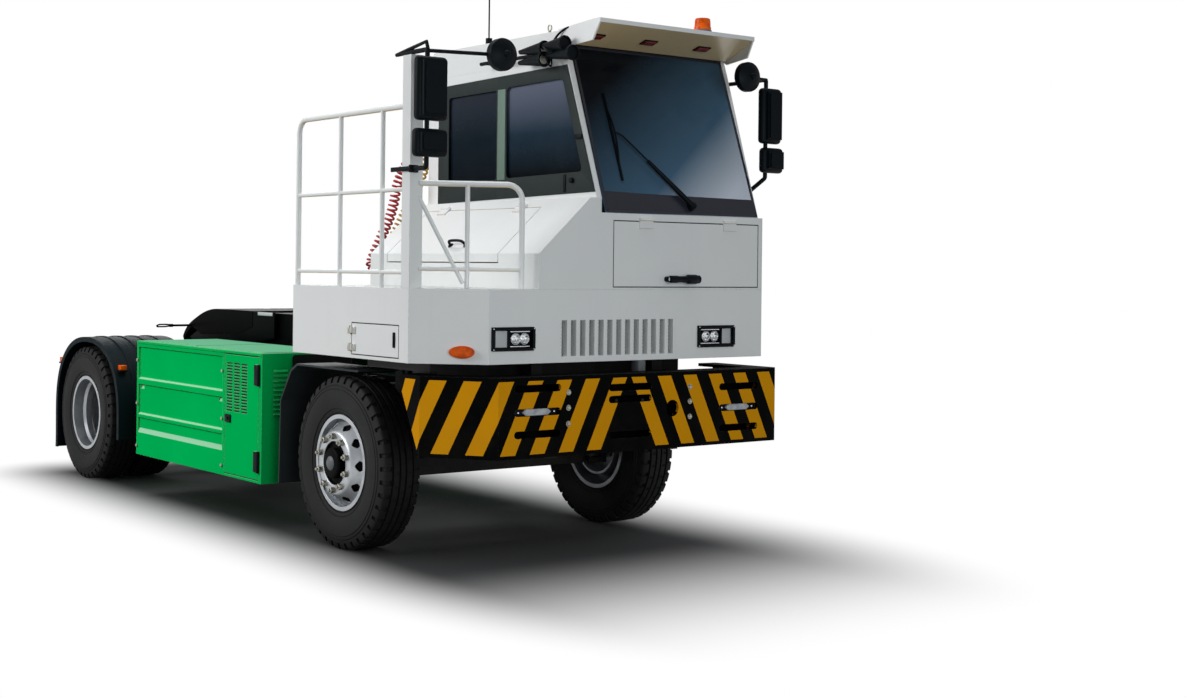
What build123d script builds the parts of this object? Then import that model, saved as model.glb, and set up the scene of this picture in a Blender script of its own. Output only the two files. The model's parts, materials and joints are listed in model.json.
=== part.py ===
from build123d import *
import math
import os

# Electric terminal tractor with an offset cab, a railed side deck and a lifting coupling.
# Millimetres. X runs forward, Y to the vehicle's left, Z up. The origin is on the ground,
# under the middle of the vehicle.

# Wheels and axles
FRONT_AXLE_X = 1655
WHEELBASE = 4000
TYRE_R = 542
TYRE_W = 298
TREAD_W = 240
BEAD_R = 286
BEAD_W = 224
FLANGE_R = 300
FLANGE_W = 8
BARREL_WALL = 12
FRONT_TYRE_Y = 1020
REAR_INNER_Y = 750
REAR_OUTER_Y = 1090
STUDS = 10
STUD_PCD = 335
NUT_R = 17
NUT_H = 26
VENT_R = 27
VENT_PCD = 462
FACE_HOLE_R = 110
FACE_R = 200
CONE_R = 260
HUB_R = 92
DRUM_R = 205
DISH_STEP = 14
KINGPIN_Y = 860
KINGPIN_R = 25
SPINDLE_R = 50
REAR_SPINDLE_R = 60
RUNNING_GAP = 0.05
BEAM_X = 90
EYE_R = 60
EYE_H = 140
EAR_GAP = 10
EAR_H = 40
REAR_TUBE_R = 95

# Chassis frame
RAIL_OUTER_Y = 510
RAIL_W = 80
RAIL_Z = 660
RAIL_H = 260
TAIL_X = -3030
CROSS_W = 120
CROSS_H = 160
SPRING_HALF = 640
SPRING_T = 55
MOTOR_R = 190
MOTOR_L = 520
SHAFT_R = 45

# Bumper
BUMPER_FRONT_X = 3090
BUMPER_Z = 690
BUMPER_H = 460
BUMPER_DEPTH = 150
BUMPER_WALL = 20
BUMPER_HALF_W = 1245
BUMPER_BEND_Y = -965
BUMPER_WING_X = 2710
BUMPER_REAR_X = 2491
SLOT_W = 330
SLOT_H = 42
TOW_HOLE_R = 50

# Body shell: side deck, hood and cab
BODY_HALF_W = 1250
BODY_FRONT_X = 2914
BODY_REAR_X = 1224
BODY_Z = 1214
DECK_Z = 1644
CORNER_RUN_X = 321
CORNER_RUN_Y = 336
WALL = 40
SHEET = 20
CAB_RIGHT_Y = -100
CAB_REAR_X = 1035
SCREEN_Z = 2105
SCREEN_SETBACK = 368
SCREEN_TOP_Z = 3155
PILLAR = 75
GUTTER_Z = 3060
ROOF_Z = 3240
GLASS = 8
HOOD_Y = -560
HOOD_STEP_Z = 1853
HOOD_TOP_Y = -180
HOOD_TOP_Z = 2193
PANEL_GAP = 6
HINGE_R = 9
HINGE_GAP = 0.3
VISOR_REACH = 379
VISOR_TOP_Z = 3268
VISOR_LIP = 26
VISOR_SIDE = 30
VISOR_TAPER = 100
VISOR_CHEEK = 12

# Lids and doors, each as its low and high edges
FRONT_HATCH_Y = (CAB_RIGHT_Y + 105, BODY_HALF_W - 41)
FRONT_HATCH_Z = (DECK_Z + 18, SCREEN_Z - 49)
SIDE_HATCH_X = (1962, 2486)
SIDE_HATCH_Z = (BODY_Z + 26, BODY_Z + 210)
HOOD_LID_X = (CAB_REAR_X + 215, BODY_FRONT_X - 414)
HOOD_LID_TOP = 430
HOOD_LID_LIP = 52
DOOR_X = (CAB_REAR_X + 95, CAB_REAR_X + 955)
DOOR_Z = (BODY_Z + 86, GUTTER_Z - 70)

# Battery boxes
BOX_X = (-1307, 749)
BOX_Z = (307, 1177)
BATTERY_DOOR_X = (BOX_X[1] - 546, BOX_X[1] - 49)
BATTERY_DOOR_Z = (BOX_Z[0] + 23, BOX_Z[1] - 27)
BOX_OUTER_Y = 1220
BOX_INNER_Y = 540
BOX_PANEL_DEPTH = 14
BOX_RIM = 6
NOTCH_DEPTH = 30
LID_RISE = 4
FRONT_LOUVRES = 10

# Coupling and its lifting boom
BOOM_PIVOT = (55, 1000)
BOOM_ARM_Y = (330, 400)
BOOM_PIN_R = 30
COUPLING_X = -1400
COUPLING_PIN_Z = 1205
COUPLING_TOP_Z = 1410
COUPLING_T = 35
COUPLING_HALF_W = 450
KINGPIN_BORE_R = 25.5
HANDLE_L = 170
LIFT_BASE = (-150, 760)
LIFT_EYE = (-950, 1160)
LIFT_Y = 255
BARREL_R = 55
BARREL_BORE_L = 300
ROD_R = 30

# Deck rails, mirrors and roof fittings
POST_W = 86
POST_H = 1341
RAIL_TUBE_R = 17
CROSS_TUBE_R = 14
RAIL_BEND_R = 90
FENCE_INSET = 22
FENCE_H = 1051
MIRROR_T = 100
MIRROR_ROUND = 26
MIRROR_ROD_R = 14
MIRROR_PAD = 16
ANTENNA_H = 320
BEACON_R = 42

AXLE_Z = TYRE_R
CORNER_X = BODY_FRONT_X - CORNER_RUN_X
CORNER_Y = CORNER_RUN_Y - BODY_HALF_W
SCREEN_TOP_X = BODY_FRONT_X - SCREEN_SETBACK
VISOR_FRONT_X = SCREEN_TOP_X + VISOR_REACH
POST_X = (CORNER_X - POST_W, CORNER_X)
POST_Y = (-BODY_HALF_W, POST_W - BODY_HALF_W)
POST_TOP_Z = DECK_Z + POST_H
FENCE_Y = FENCE_INSET - BODY_HALF_W
FENCE_TOP_Z = DECK_Z + FENCE_H
REAR_AXLE_X = FRONT_AXLE_X - WHEELBASE
RAIL_TOP_Z = RAIL_Z + RAIL_H
RAIL_INNER_Y = RAIL_OUTER_Y - RAIL_W
BUMPER_TOP_Z = BUMPER_Z + BUMPER_H
SCREEN_RAKE = (BODY_FRONT_X - SCREEN_TOP_X) / (SCREEN_TOP_Z - SCREEN_Z)
SIDES = {"left": 1, "right": -1}


def block(x, y, z):
    """A box from the low and high value along each axis."""
    size = Box(abs(x[1] - x[0]), abs(y[1] - y[0]), abs(z[1] - z[0]))
    return Pos((x[0] + x[1]) / 2, (y[0] + y[1]) / 2, (z[0] + z[1]) / 2) * size


def prism(points, along, span):
    """A polygon in the plane across one axis, extruded over a span of that axis."""
    place = {
        "X": lambda p: (span[0], p[0], p[1]),
        "Y": lambda p: (p[0], span[0], p[1]),
        "Z": lambda p: (p[0], p[1], span[0]),
    }[along]
    direction = {"X": (1, 0, 0), "Y": (0, 1, 0), "Z": (0, 0, 1)}[along]
    outline = Wire.make_polygon([place(p) for p in points], close=True)
    return extrude(Face(outline), amount=span[1] - span[0], dir=direction)


def rod(start, end, radius):
    """A round bar between two points."""
    run = Vector(*end) - Vector(*start)
    plane = Plane(origin=start, z_dir=run)
    return plane * Cylinder(radius, run.length, align=(Align.CENTER, Align.CENTER, Align.MIN))


def tube(points, radius, bend):
    """A round bar along a line of points, rounded at each bend."""
    path = FilletPolyline(*points, radius=bend)
    start = Plane(origin=path @ 0, z_dir=path % 0)
    return sweep(start * Circle(radius), path)


def bar_y(x, y, z, radius):
    """A round bar along Y."""
    return rod((x, y[0], z), (x, y[1], z), radius)


def turned(profile, x, y, z):
    """A profile of (radius, distance along Y) points turned about an axle."""
    outline = Wire.make_polygon([(r, d, 0) for r, d in profile], close=True)
    return Pos(x, y, z) * revolve(Face(outline), Axis.Y, 360)


def curved_sheet(outer, inner, span):
    """A sheet between two smooth lines seen from the side, across a span of Y."""
    top = Spline(*[(x, span[0], z) for x, z in outer])
    bottom = Spline(*[(x, span[0], z) for x, z in inner])
    ends = [Line(top @ 1, bottom @ 1), Line(bottom @ 0, top @ 0)]
    outline = Wire([top, *ends, bottom])
    return extrude(Face(outline), amount=span[1] - span[0], dir=(0, 1, 0))


def both_sides(shape):
    return shape + mirror(shape, about=Plane.XZ)


def group(*shapes):
    """Several separate solids kept as one sub-part."""
    solids = []
    for shape in shapes:
        solids += shape.solids()
    return Compound(solids)


def screen_x(z):
    """Where the windscreen's outer face is at a height."""
    return BODY_FRONT_X - (z - SCREEN_Z) * SCREEN_RAKE


PARTS = {}


# Wheels
def tyre(x, y):
    half = TYRE_W / 2
    waist = (BEAD_R + TYRE_R) / 2 + 12
    profile = [
        (BEAD_R, -BEAD_W / 2),
        (BEAD_R, BEAD_W / 2),
        (waist, half),
        (TYRE_R, TREAD_W / 2),
        (TYRE_R, -TREAD_W / 2),
        (waist, -half),
    ]
    return turned(profile, x, y, AXLE_Z)


def rim_barrel(y):
    """The rim's barrel and its two flanges, about the origin's Y axis."""
    edge = BEAD_W / 2 + 4
    ring = bar_y(0, (y - edge, y + edge), 0, BEAD_R)
    for side in (-1, 1):
        lip = sorted((y + side * edge, y + side * (edge + FLANGE_W)))
        ring += bar_y(0, lip, 0, FLANGE_R)
    return ring - bar_y(0, (y - 2 * edge, y + 2 * edge), 0, BEAD_R - BARREL_WALL)


def around(shape, count, first=0.0):
    """Copies of a shape about the Y axis."""
    copies = None
    for step in range(count):
        copy = Rot(0, first + 360 / count * step, 0) * shape
        copies = copy if copies is None else copies + copy
    return copies


def front_wheel_rim(side):
    """Rim, disc, hub and brake drum of a front wheel, drawn for the left side."""
    face_y = 95
    hub_y = (-50, 118)
    rim = rim_barrel(0)
    disc = [
        (FACE_HOLE_R, face_y),
        (FACE_R, face_y),
        (FACE_R + 12, face_y - 9),
        (CONE_R, face_y - 49),
        (BEAD_R - BARREL_WALL / 2, face_y - 49),
        (BEAD_R - BARREL_WALL / 2, face_y - 67),
        (CONE_R - 6, face_y - 67),
        (FACE_R + 5, face_y - 27),
        (FACE_R - 6, face_y - 18),
        (FACE_HOLE_R, face_y - 18),
    ]
    rim += turned(disc, 0, 0, 0)
    vent_y = (face_y - 75, face_y + 5)
    rim -= around(bar_y(VENT_PCD / 2, vent_y, 0, VENT_R), STUDS, 18)
    rim += bar_y(0, hub_y, 0, HUB_R)
    rim += bar_y(0, (face_y - 50, face_y - 17), 0, FACE_R - 15)
    rim += bar_y(0, (-112, face_y - 48), 0, DRUM_R) - bar_y(0, (-130, face_y - 66), 0, DRUM_R - 17)
    rim += around(bar_y(STUD_PCD / 2, (face_y - 2, face_y + NUT_H), 0, NUT_R), STUDS)
    rim -= bar_y(0, (hub_y[0] - 5, hub_y[1] - 20), 0, SPINDLE_R + RUNNING_GAP)
    rim = Pos(FRONT_AXLE_X, FRONT_TYRE_Y, AXLE_Z) * rim
    return rim if side > 0 else mirror(rim, about=Plane.XZ)


def rear_wheel_rims(side):
    """Two rims bolted disc to disc on one hub, drawn for the left side."""
    middle = (REAR_INNER_Y + REAR_OUTER_Y) / 2
    reach = BEAD_W / 2 + 4
    disc_y = (middle - 16, middle + 16)
    hub_y = (660, 1012)
    rims = rim_barrel(REAR_INNER_Y) + rim_barrel(REAR_OUTER_Y)
    web = bar_y(0, (REAR_INNER_Y + reach - 10, REAR_OUTER_Y - reach + 10), 0, BEAD_R - BARREL_WALL / 2)
    rims += web - bar_y(0, (0, 2 * middle), 0, BEAD_R - 2 * BARREL_WALL)
    rims += bar_y(0, disc_y, 0, BEAD_R - BARREL_WALL)
    rims += bar_y(0, hub_y, 0, 140)
    barrel_r = BEAD_R - BARREL_WALL
    step_r = barrel_r - DISH_STEP
    step_ring = [(barrel_r + 2, 45), (barrel_r + 2, -45), (step_r, -22), (step_r, 22)]
    for y in (REAR_INNER_Y, REAR_OUTER_Y):
        rims += turned(step_ring, 0, y, 0)
    rims -= around(bar_y(VENT_PCD / 2, (disc_y[0] - 5, disc_y[1] + 5), 0, VENT_R), STUDS, 18)
    rims += around(bar_y(STUD_PCD / 2, (disc_y[1] - 2, disc_y[1] + NUT_H), 0, NUT_R), STUDS)
    rims -= bar_y(0, (hub_y[0] - 5, hub_y[1] - 20), 0, REAR_SPINDLE_R + RUNNING_GAP)
    rims = Pos(REAR_AXLE_X, 0, AXLE_Z) * rims
    return rims if side > 0 else mirror(rims, about=Plane.XZ)


for side_name, side in SIDES.items():
    PARTS[f"front_tyre_{side_name}"] = tyre(FRONT_AXLE_X, side * FRONT_TYRE_Y)
    PARTS[f"front_rim_{side_name}"] = front_wheel_rim(side)
    PARTS[f"rear_tyres_{side_name}"] = group(
        tyre(REAR_AXLE_X, side * REAR_INNER_Y), tyre(REAR_AXLE_X, side * REAR_OUTER_Y)
    )
    PARTS[f"rear_rims_{side_name}"] = rear_wheel_rims(side)


# Axles
def knuckle(side):
    """Steering knuckle with its kingpin and wheel spindle, drawn for the left side."""
    ear_z = EYE_H / 2 + EAR_GAP
    top = ear_z + EAR_H
    web_y = (KINGPIN_Y + EYE_R + 5, FRONT_TYRE_Y - 55)
    shape = rod((0, KINGPIN_Y, -top), (0, KINGPIN_Y, top), KINGPIN_R)
    for low in (-top, ear_z):
        shape += block((-50, 50), (KINGPIN_Y - 45, web_y[1]), (low, low + EAR_H))
    shape += block((-50, 50), web_y, (-top, top))
    shape += bar_y(0, (web_y[1] - 1, FRONT_TYRE_Y + 96), 0, SPINDLE_R)
    shape = Pos(FRONT_AXLE_X, 0, AXLE_Z) * shape
    return shape if side > 0 else mirror(shape, about=Plane.XZ)


for side_name, side in SIDES.items():
    PARTS[f"knuckle_{side_name}"] = knuckle(side)

beam_end = KINGPIN_Y - 95
beam = block((-BEAM_X / 2, BEAM_X / 2), (-beam_end, beam_end), (-112, 0))
beam += both_sides(block((-40, 40), (beam_end - 60, KINGPIN_Y - 20), (-EYE_H / 2, EYE_H / 2)))
eye = rod((0, KINGPIN_Y, -EYE_H / 2), (0, KINGPIN_Y, EYE_H / 2), EYE_R)
beam += both_sides(eye)
pin_hole = rod((0, KINGPIN_Y, -EYE_H), (0, KINGPIN_Y, EYE_H), KINGPIN_R + RUNNING_GAP)
beam -= both_sides(pin_hole)
PARTS["front_axle_beam"] = Pos(FRONT_AXLE_X, 0, AXLE_Z) * beam

spring_outline = [
    (-SPRING_HALF, RAIL_Z),
    (-SPRING_HALF, RAIL_Z - 60),
    (-60, AXLE_Z),
    (60, AXLE_Z),
    (SPRING_HALF, RAIL_Z - 60),
    (SPRING_HALF, RAIL_Z),
    (SPRING_HALF - 70, RAIL_Z),
    (SPRING_HALF - 70, RAIL_Z - 20),
    (60, AXLE_Z + SPRING_T),
    (-60, AXLE_Z + SPRING_T),
    (70 - SPRING_HALF, RAIL_Z - 20),
    (70 - SPRING_HALF, RAIL_Z),
]
spring = prism(spring_outline, "Y", (RAIL_INNER_Y, RAIL_OUTER_Y))
spring = Pos(FRONT_AXLE_X, 0, 0) * spring
PARTS["front_springs"] = group(spring, mirror(spring, about=Plane.XZ))

rear_axle = bar_y(REAR_AXLE_X, (-650, 650), AXLE_Z, REAR_TUBE_R)
rear_axle += bar_y(REAR_AXLE_X, (-990, 990), AXLE_Z, REAR_SPINDLE_R)
rear_axle += Pos(REAR_AXLE_X, 0, AXLE_Z) * Sphere(225)
rear_axle += rod((REAR_AXLE_X, 0, AXLE_Z), (REAR_AXLE_X + 400, 0, AXLE_Z + 20), 110)
axle_seat = block((REAR_AXLE_X - 110, REAR_AXLE_X + 110), (RAIL_INNER_Y, RAIL_OUTER_Y), (AXLE_Z, RAIL_Z))
rear_axle += both_sides(axle_seat)
PARTS["rear_axle"] = rear_axle

motor_x = REAR_AXLE_X + 900
motor = rod((motor_x, 0, AXLE_Z + 60), (motor_x + MOTOR_L, 0, AXLE_Z + 60), MOTOR_R)
motor += block((motor_x + 120, motor_x + 240), (-RAIL_INNER_Y, RAIL_INNER_Y), (RAIL_Z, RAIL_Z + 60))
motor += rod((REAR_AXLE_X + 402, 0, AXLE_Z + 20), (motor_x + 20, 0, AXLE_Z + 60), SHAFT_R)
PARTS["traction_motor"] = motor

# Chassis frame: two rails, cross members, cab posts, boom ears and outriggers
rail_front_x = BUMPER_FRONT_X - BUMPER_DEPTH
frame = both_sides(block((TAIL_X, rail_front_x), (RAIL_INNER_Y, RAIL_OUTER_Y), (RAIL_Z, RAIL_TOP_Z)))
for x in (TAIL_X + 60, -780, 400, 1100, 2300, rail_front_x - 60):
    cross_z = (RAIL_TOP_Z - CROSS_H, RAIL_TOP_Z)
    frame += block((x - CROSS_W / 2, x + CROSS_W / 2), (-RAIL_INNER_Y - 1, RAIL_INNER_Y + 1), cross_z)
for x in (1330, 2740):
    frame += both_sides(block((x - 45, x + 45), (RAIL_INNER_Y, RAIL_OUTER_Y), (RAIL_TOP_Z - 1, BODY_Z)))
ear_y = (BOOM_ARM_Y[1] + 12, RAIL_INNER_Y + 35)
boom_ear = block((BOOM_PIVOT[0] - 70, BOOM_PIVOT[0] + 70), ear_y, (RAIL_TOP_Z - 1, BOOM_PIVOT[1] + 70))
boom_ear -= bar_y(BOOM_PIVOT[0], (ear_y[0] - 5, ear_y[1] + 5), BOOM_PIVOT[1], BOOM_PIN_R + RUNNING_GAP)
frame += both_sides(boom_ear)
frame += bar_y(LIFT_BASE[0], (-RAIL_INNER_Y - 1, RAIL_INNER_Y + 1), LIFT_BASE[1], BOOM_PIN_R)
for x in (BOX_X[0] + 300, BOX_X[1] - 300):
    outrigger = block((x - 50, x + 50), (RAIL_OUTER_Y - 1, BOX_INNER_Y), (RAIL_Z + 40, RAIL_TOP_Z - 40))
    frame += both_sides(outrigger)
PARTS["chassis_frame"] = frame


# Bumper: a bent channel with slots, chamfered at the right and square at the left
def bumper_line(inset):
    """The bumper's outline seen from above, moved in from its outer face."""
    shift = inset * 0.35
    return [
        (BUMPER_REAR_X, BUMPER_HALF_W - inset),
        (BUMPER_FRONT_X - 45 - inset, BUMPER_HALF_W - inset),
        (BUMPER_FRONT_X - inset, BUMPER_HALF_W - 45 - inset),
        (BUMPER_FRONT_X - inset, BUMPER_BEND_Y + shift),
        (BUMPER_WING_X - shift, -BUMPER_HALF_W + inset),
        (BUMPER_REAR_X, -BUMPER_HALF_W + inset),
    ]


bumper = prism(bumper_line(0) + bumper_line(BUMPER_DEPTH)[::-1], "Z", (BUMPER_Z, BUMPER_TOP_Z))
inner = bumper_line(BUMPER_WALL) + bumper_line(BUMPER_DEPTH + 20)[::-1]
bumper -= prism(inner, "Z", (BUMPER_Z + BUMPER_WALL, BUMPER_TOP_Z - BUMPER_WALL))
wing_cut = [
    (BUMPER_REAR_X - 5, BUMPER_TOP_Z - 30),
    (BUMPER_REAR_X + 215, BUMPER_Z - 5),
    (BUMPER_REAR_X - 5, BUMPER_Z - 5),
]
bumper -= prism(wing_cut, "Y", (-BUMPER_HALF_W - 5, BUMPER_HALF_W + 5))
# Slot sets: middle of the set along Y, heights of its rows
SLOT_SETS = [(-691, (1085, 950, 825)), (-3, (1070, 1000, 790)), (882, (1045, 915, 790))]
wall_x = (BUMPER_FRONT_X - BUMPER_WALL - 5, BUMPER_FRONT_X + 5)
for y, rows in SLOT_SETS:
    for z in rows:
        slot_end = (SLOT_W - SLOT_H) / 2
        bumper -= block(wall_x, (y - slot_end, y + slot_end), (z - SLOT_H / 2, z + SLOT_H / 2))
        for end in (y - slot_end, y + slot_end):
            bumper -= rod((wall_x[0], end, z), (wall_x[1], end, z), SLOT_H / 2)
TOW_HOLE = (330, 930)
bumper -= rod((wall_x[0], *TOW_HOLE), (wall_x[1], *TOW_HOLE), TOW_HOLE_R)
back_x = (rail_front_x + 5, rail_front_x + 17)
back_y = (BUMPER_BEND_Y + 60, BUMPER_HALF_W - BUMPER_DEPTH - 10)
bumper_back = block(back_x, back_y, (BUMPER_Z + BUMPER_WALL - 1, BUMPER_TOP_Z - BUMPER_WALL + 1))
bumper += bumper_back - rod((back_x[0] - 5, *TOW_HOLE), (back_x[1] + 5, *TOW_HOLE), TOW_HOLE_R + 10)
bracket_x = (rail_front_x, BUMPER_FRONT_X - BUMPER_WALL + 1)
bumper += both_sides(block(bracket_x, (RAIL_INNER_Y, RAIL_OUTER_Y), (BUMPER_Z + 10, RAIL_TOP_Z)))
PARTS["bumper"] = bumper

# Body shell
floor_front = BODY_FRONT_X - WALL
floor_outline = [
    (BODY_REAR_X, WALL - BODY_HALF_W),
    (CORNER_X - WALL * 0.42, WALL - BODY_HALF_W),
    (floor_front, CORNER_Y + WALL * 0.42),
    (floor_front, BODY_HALF_W - WALL),
    (CAB_REAR_X + WALL, BODY_HALF_W - WALL),
    (CAB_REAR_X + WALL, CAB_RIGHT_Y + WALL),
    (BODY_REAR_X, CAB_RIGHT_Y + WALL),
]
floor = prism(floor_outline, "Z", (BODY_Z, BODY_Z + WALL))
beam_x = (CORNER_X - 213, CORNER_X + 47)
beam_y = (170 - BODY_HALF_W, BODY_HALF_W - 470)
wide_x = (FRONT_AXLE_X + 295, beam_x[1])
floor += block(wide_x, (beam_y[0] - 50, beam_y[1]), (BUMPER_TOP_Z + 10, BODY_Z + 1))
floor += block(beam_x, beam_y, (RAIL_TOP_Z + 90, BUMPER_TOP_Z + 11))
PARTS["cab_floor"] = floor

deck_outline = floor_outline[:2] + [
    (floor_front, CORNER_Y + WALL * 0.42),
    (floor_front, CAB_RIGHT_Y),
    (BODY_REAR_X, CAB_RIGHT_Y),
]
deck = prism(deck_outline, "Z", (DECK_Z - WALL, DECK_Z))
apron_y = (WALL - BODY_HALF_W, CAB_RIGHT_Y)
deck += block((BODY_REAR_X, BODY_REAR_X + SHEET), apron_y, (BODY_Z + WALL, DECK_Z - 1))
PARTS["deck_plate"] = deck

side_panel = block((BODY_REAR_X, CORNER_X), (-BODY_HALF_W, WALL - BODY_HALF_W), (BODY_Z, DECK_Z))
hatch_hole_x = (SIDE_HATCH_X[0] - PANEL_GAP, SIDE_HATCH_X[1] + PANEL_GAP)
hatch_hole_z = (SIDE_HATCH_Z[0] - PANEL_GAP, SIDE_HATCH_Z[1] + PANEL_GAP)
side_panel -= block(hatch_hole_x, (-BODY_HALF_W - 5, WALL + 5 - BODY_HALF_W), hatch_hole_z)
corner_cut = [
    (CORNER_X - WALL * 0.42, WALL - BODY_HALF_W),
    (CORNER_X, -BODY_HALF_W),
    (CORNER_X + 5, -BODY_HALF_W),
    (CORNER_X + 5, WALL + 5 - BODY_HALF_W),
]
side_panel -= prism(corner_cut, "Z", (BODY_Z - 5, DECK_Z + 5))
PARTS["side_panel"] = side_panel

front_outline = [
    (CORNER_X, -BODY_HALF_W),
    (BODY_FRONT_X, CORNER_Y),
    (BODY_FRONT_X, BODY_HALF_W),
    (floor_front, BODY_HALF_W),
    (floor_front, CORNER_Y + WALL * 0.42),
    (CORNER_X - WALL * 0.42, WALL - BODY_HALF_W),
]
front_panel = prism(front_outline, "Z", (BODY_Z, DECK_Z))
GRILLE_Y = (-388, 487)
GRILLE_Z = (1250, 1462)
GRILLE_SLOTS = 13
GRILLE_SLOT_W = 40
pitch = (GRILLE_Y[1] - GRILLE_Y[0] - GRILLE_SLOT_W) / (GRILLE_SLOTS - 1)
panel_x = (floor_front - 5, BODY_FRONT_X + 5)
for step in range(GRILLE_SLOTS):
    y = GRILLE_Y[0] + step * pitch
    front_panel -= block(panel_x, (y, y + GRILLE_SLOT_W), GRILLE_Z)
# Headlamp recesses: low and high Y, low and high Z
HEADLAMPS = [((-896, -590), (1290, 1427)), ((690, 1005), (1282, 1418))]
LAMP_DEPTH = 24
for y, z in HEADLAMPS:
    front_panel -= block((BODY_FRONT_X - LAMP_DEPTH, BODY_FRONT_X + 5), y, z)
PARTS["front_panel"] = front_panel

cab_front_outline = [
    (HOOD_Y, DECK_Z),
    (BODY_HALF_W, DECK_Z),
    (BODY_HALF_W, SCREEN_Z),
    (CAB_RIGHT_Y + WALL, SCREEN_Z),
    (CAB_RIGHT_Y, SCREEN_Z),
    (CAB_RIGHT_Y, HOOD_TOP_Z),
    (HOOD_TOP_Y, HOOD_TOP_Z),
    (HOOD_Y, HOOD_STEP_Z),
]
cab_front = prism(cab_front_outline, "X", (floor_front, BODY_FRONT_X))
hole_y = (FRONT_HATCH_Y[0] - PANEL_GAP, FRONT_HATCH_Y[1] + PANEL_GAP)
hole_z = (FRONT_HATCH_Z[0] - PANEL_GAP, FRONT_HATCH_Z[1] + PANEL_GAP)
cab_front -= block(panel_x, hole_y, hole_z)
PARTS["cab_front_panel"] = cab_front


def hinge(start, end):
    return rod(start, end, HINGE_R)


front_hatch = block((BODY_FRONT_X - 30, BODY_FRONT_X), FRONT_HATCH_Y, FRONT_HATCH_Z)
hatch_axis_x = BODY_FRONT_X + HINGE_GAP + HINGE_R
hatch_axis_z = FRONT_HATCH_Z[1] + PANEL_GAP + HINGE_R
for y in (200, 900):
    front_hatch += hinge((hatch_axis_x, y, hatch_axis_z), (hatch_axis_x, y + 110, hatch_axis_z))
    strap_z = (FRONT_HATCH_Z[1] - 40, hatch_axis_z)
    front_hatch += block((BODY_FRONT_X + HINGE_GAP, hatch_axis_x), (y, y + 110), strap_z)
    strap_z = (FRONT_HATCH_Z[1] - 40, FRONT_HATCH_Z[1] - 2)
    front_hatch += block((BODY_FRONT_X - 2, hatch_axis_x), (y, y + 110), strap_z)
HATCH_HANDLE_Y = (424, 647)
HATCH_HANDLE_Z = 1708
for y in HATCH_HANDLE_Y:
    front_hatch += rod((BODY_FRONT_X - 2, y, HATCH_HANDLE_Z), (BODY_FRONT_X + 45, y, HATCH_HANDLE_Z), 14)
front_hatch += bar_y(BODY_FRONT_X + 45, HATCH_HANDLE_Y, HATCH_HANDLE_Z, 16)
PARTS["front_hatch"] = front_hatch

side_hatch = block(SIDE_HATCH_X, (-BODY_HALF_W, 24 - BODY_HALF_W), SIDE_HATCH_Z)
side_axis = (SIDE_HATCH_X[0] - PANEL_GAP - HINGE_R, -BODY_HALF_W - HINGE_GAP - HINGE_R)
for z in (SIDE_HATCH_Z[0] + 20, SIDE_HATCH_Z[1] - 60):
    side_hatch += hinge((*side_axis, z), (*side_axis, z + 40))
    strap_y = (side_axis[1], -BODY_HALF_W - HINGE_GAP)
    side_hatch += block((side_axis[0], SIDE_HATCH_X[0] + 40), strap_y, (z, z + 40))
    strap_y = (side_axis[1], 2 - BODY_HALF_W)
    side_hatch += block((SIDE_HATCH_X[0] + 5, SIDE_HATCH_X[0] + 40), strap_y, (z, z + 40))
PARTS["side_hatch"] = side_hatch

# Storage hood along the cab's right side, with a sloping face
slope = Vector(0, HOOD_TOP_Y - HOOD_Y, HOOD_TOP_Z - HOOD_STEP_Z).normalized()
hood_outline = [
    (HOOD_Y, DECK_Z),
    (HOOD_Y, HOOD_STEP_Z),
    (HOOD_TOP_Y, HOOD_TOP_Z),
    (CAB_RIGHT_Y, HOOD_TOP_Z),
    (CAB_RIGHT_Y, DECK_Z),
]
hood_x = (CAB_REAR_X, floor_front)
hood_inner = [
    (HOOD_Y + SHEET, DECK_Z - 5),
    (HOOD_Y + SHEET, HOOD_STEP_Z - SHEET * 0.4),
    (HOOD_TOP_Y + SHEET * 0.4, HOOD_TOP_Z - SHEET),
    (CAB_RIGHT_Y + 5, HOOD_TOP_Z - SHEET),
    (CAB_RIGHT_Y + 5, DECK_Z - 5),
]
hood = prism(hood_outline, "X", hood_x)
hood -= prism(hood_inner, "X", (hood_x[0] + SHEET, hood_x[1] + 5))
hood += block((CAB_REAR_X, BODY_REAR_X), (HOOD_Y, CAB_RIGHT_Y), (DECK_Z - SHEET, DECK_Z))


def on_slope(run, lift):
    """A point (Y, Z) up the hood's slope by a run and off it by a lift."""
    return (
        HOOD_Y + slope.Y * run - slope.Z * lift,
        HOOD_STEP_Z + slope.Z * run + slope.Y * lift,
    )


def slope_slab(run, lift, x):
    corners = [(run[0], lift[0]), (run[1], lift[0]), (run[1], lift[1]), (run[0], lift[1])]
    return prism([on_slope(*c) for c in corners], "X", x)


def folded_slab(top, lip, skin, depth):
    """A sheet down the slope and over the step, from its skin height to its depth."""
    return [
        on_slope(top, skin),
        (HOOD_Y - skin, HOOD_STEP_Z + skin * 0.4),
        (HOOD_Y - skin, HOOD_STEP_Z - lip),
        (HOOD_Y + depth, HOOD_STEP_Z - lip),
        (HOOD_Y + depth, HOOD_STEP_Z - depth * 0.4),
        on_slope(top, -depth),
    ]


lid_hole_x = (HOOD_LID_X[0] - PANEL_GAP, HOOD_LID_X[1] + PANEL_GAP)
lid_hole = folded_slab(HOOD_LID_TOP + PANEL_GAP, HOOD_LID_LIP + PANEL_GAP, 5, SHEET + 8)
hood -= prism(lid_hole, "X", lid_hole_x)
PARTS["side_hood"] = hood

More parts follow.
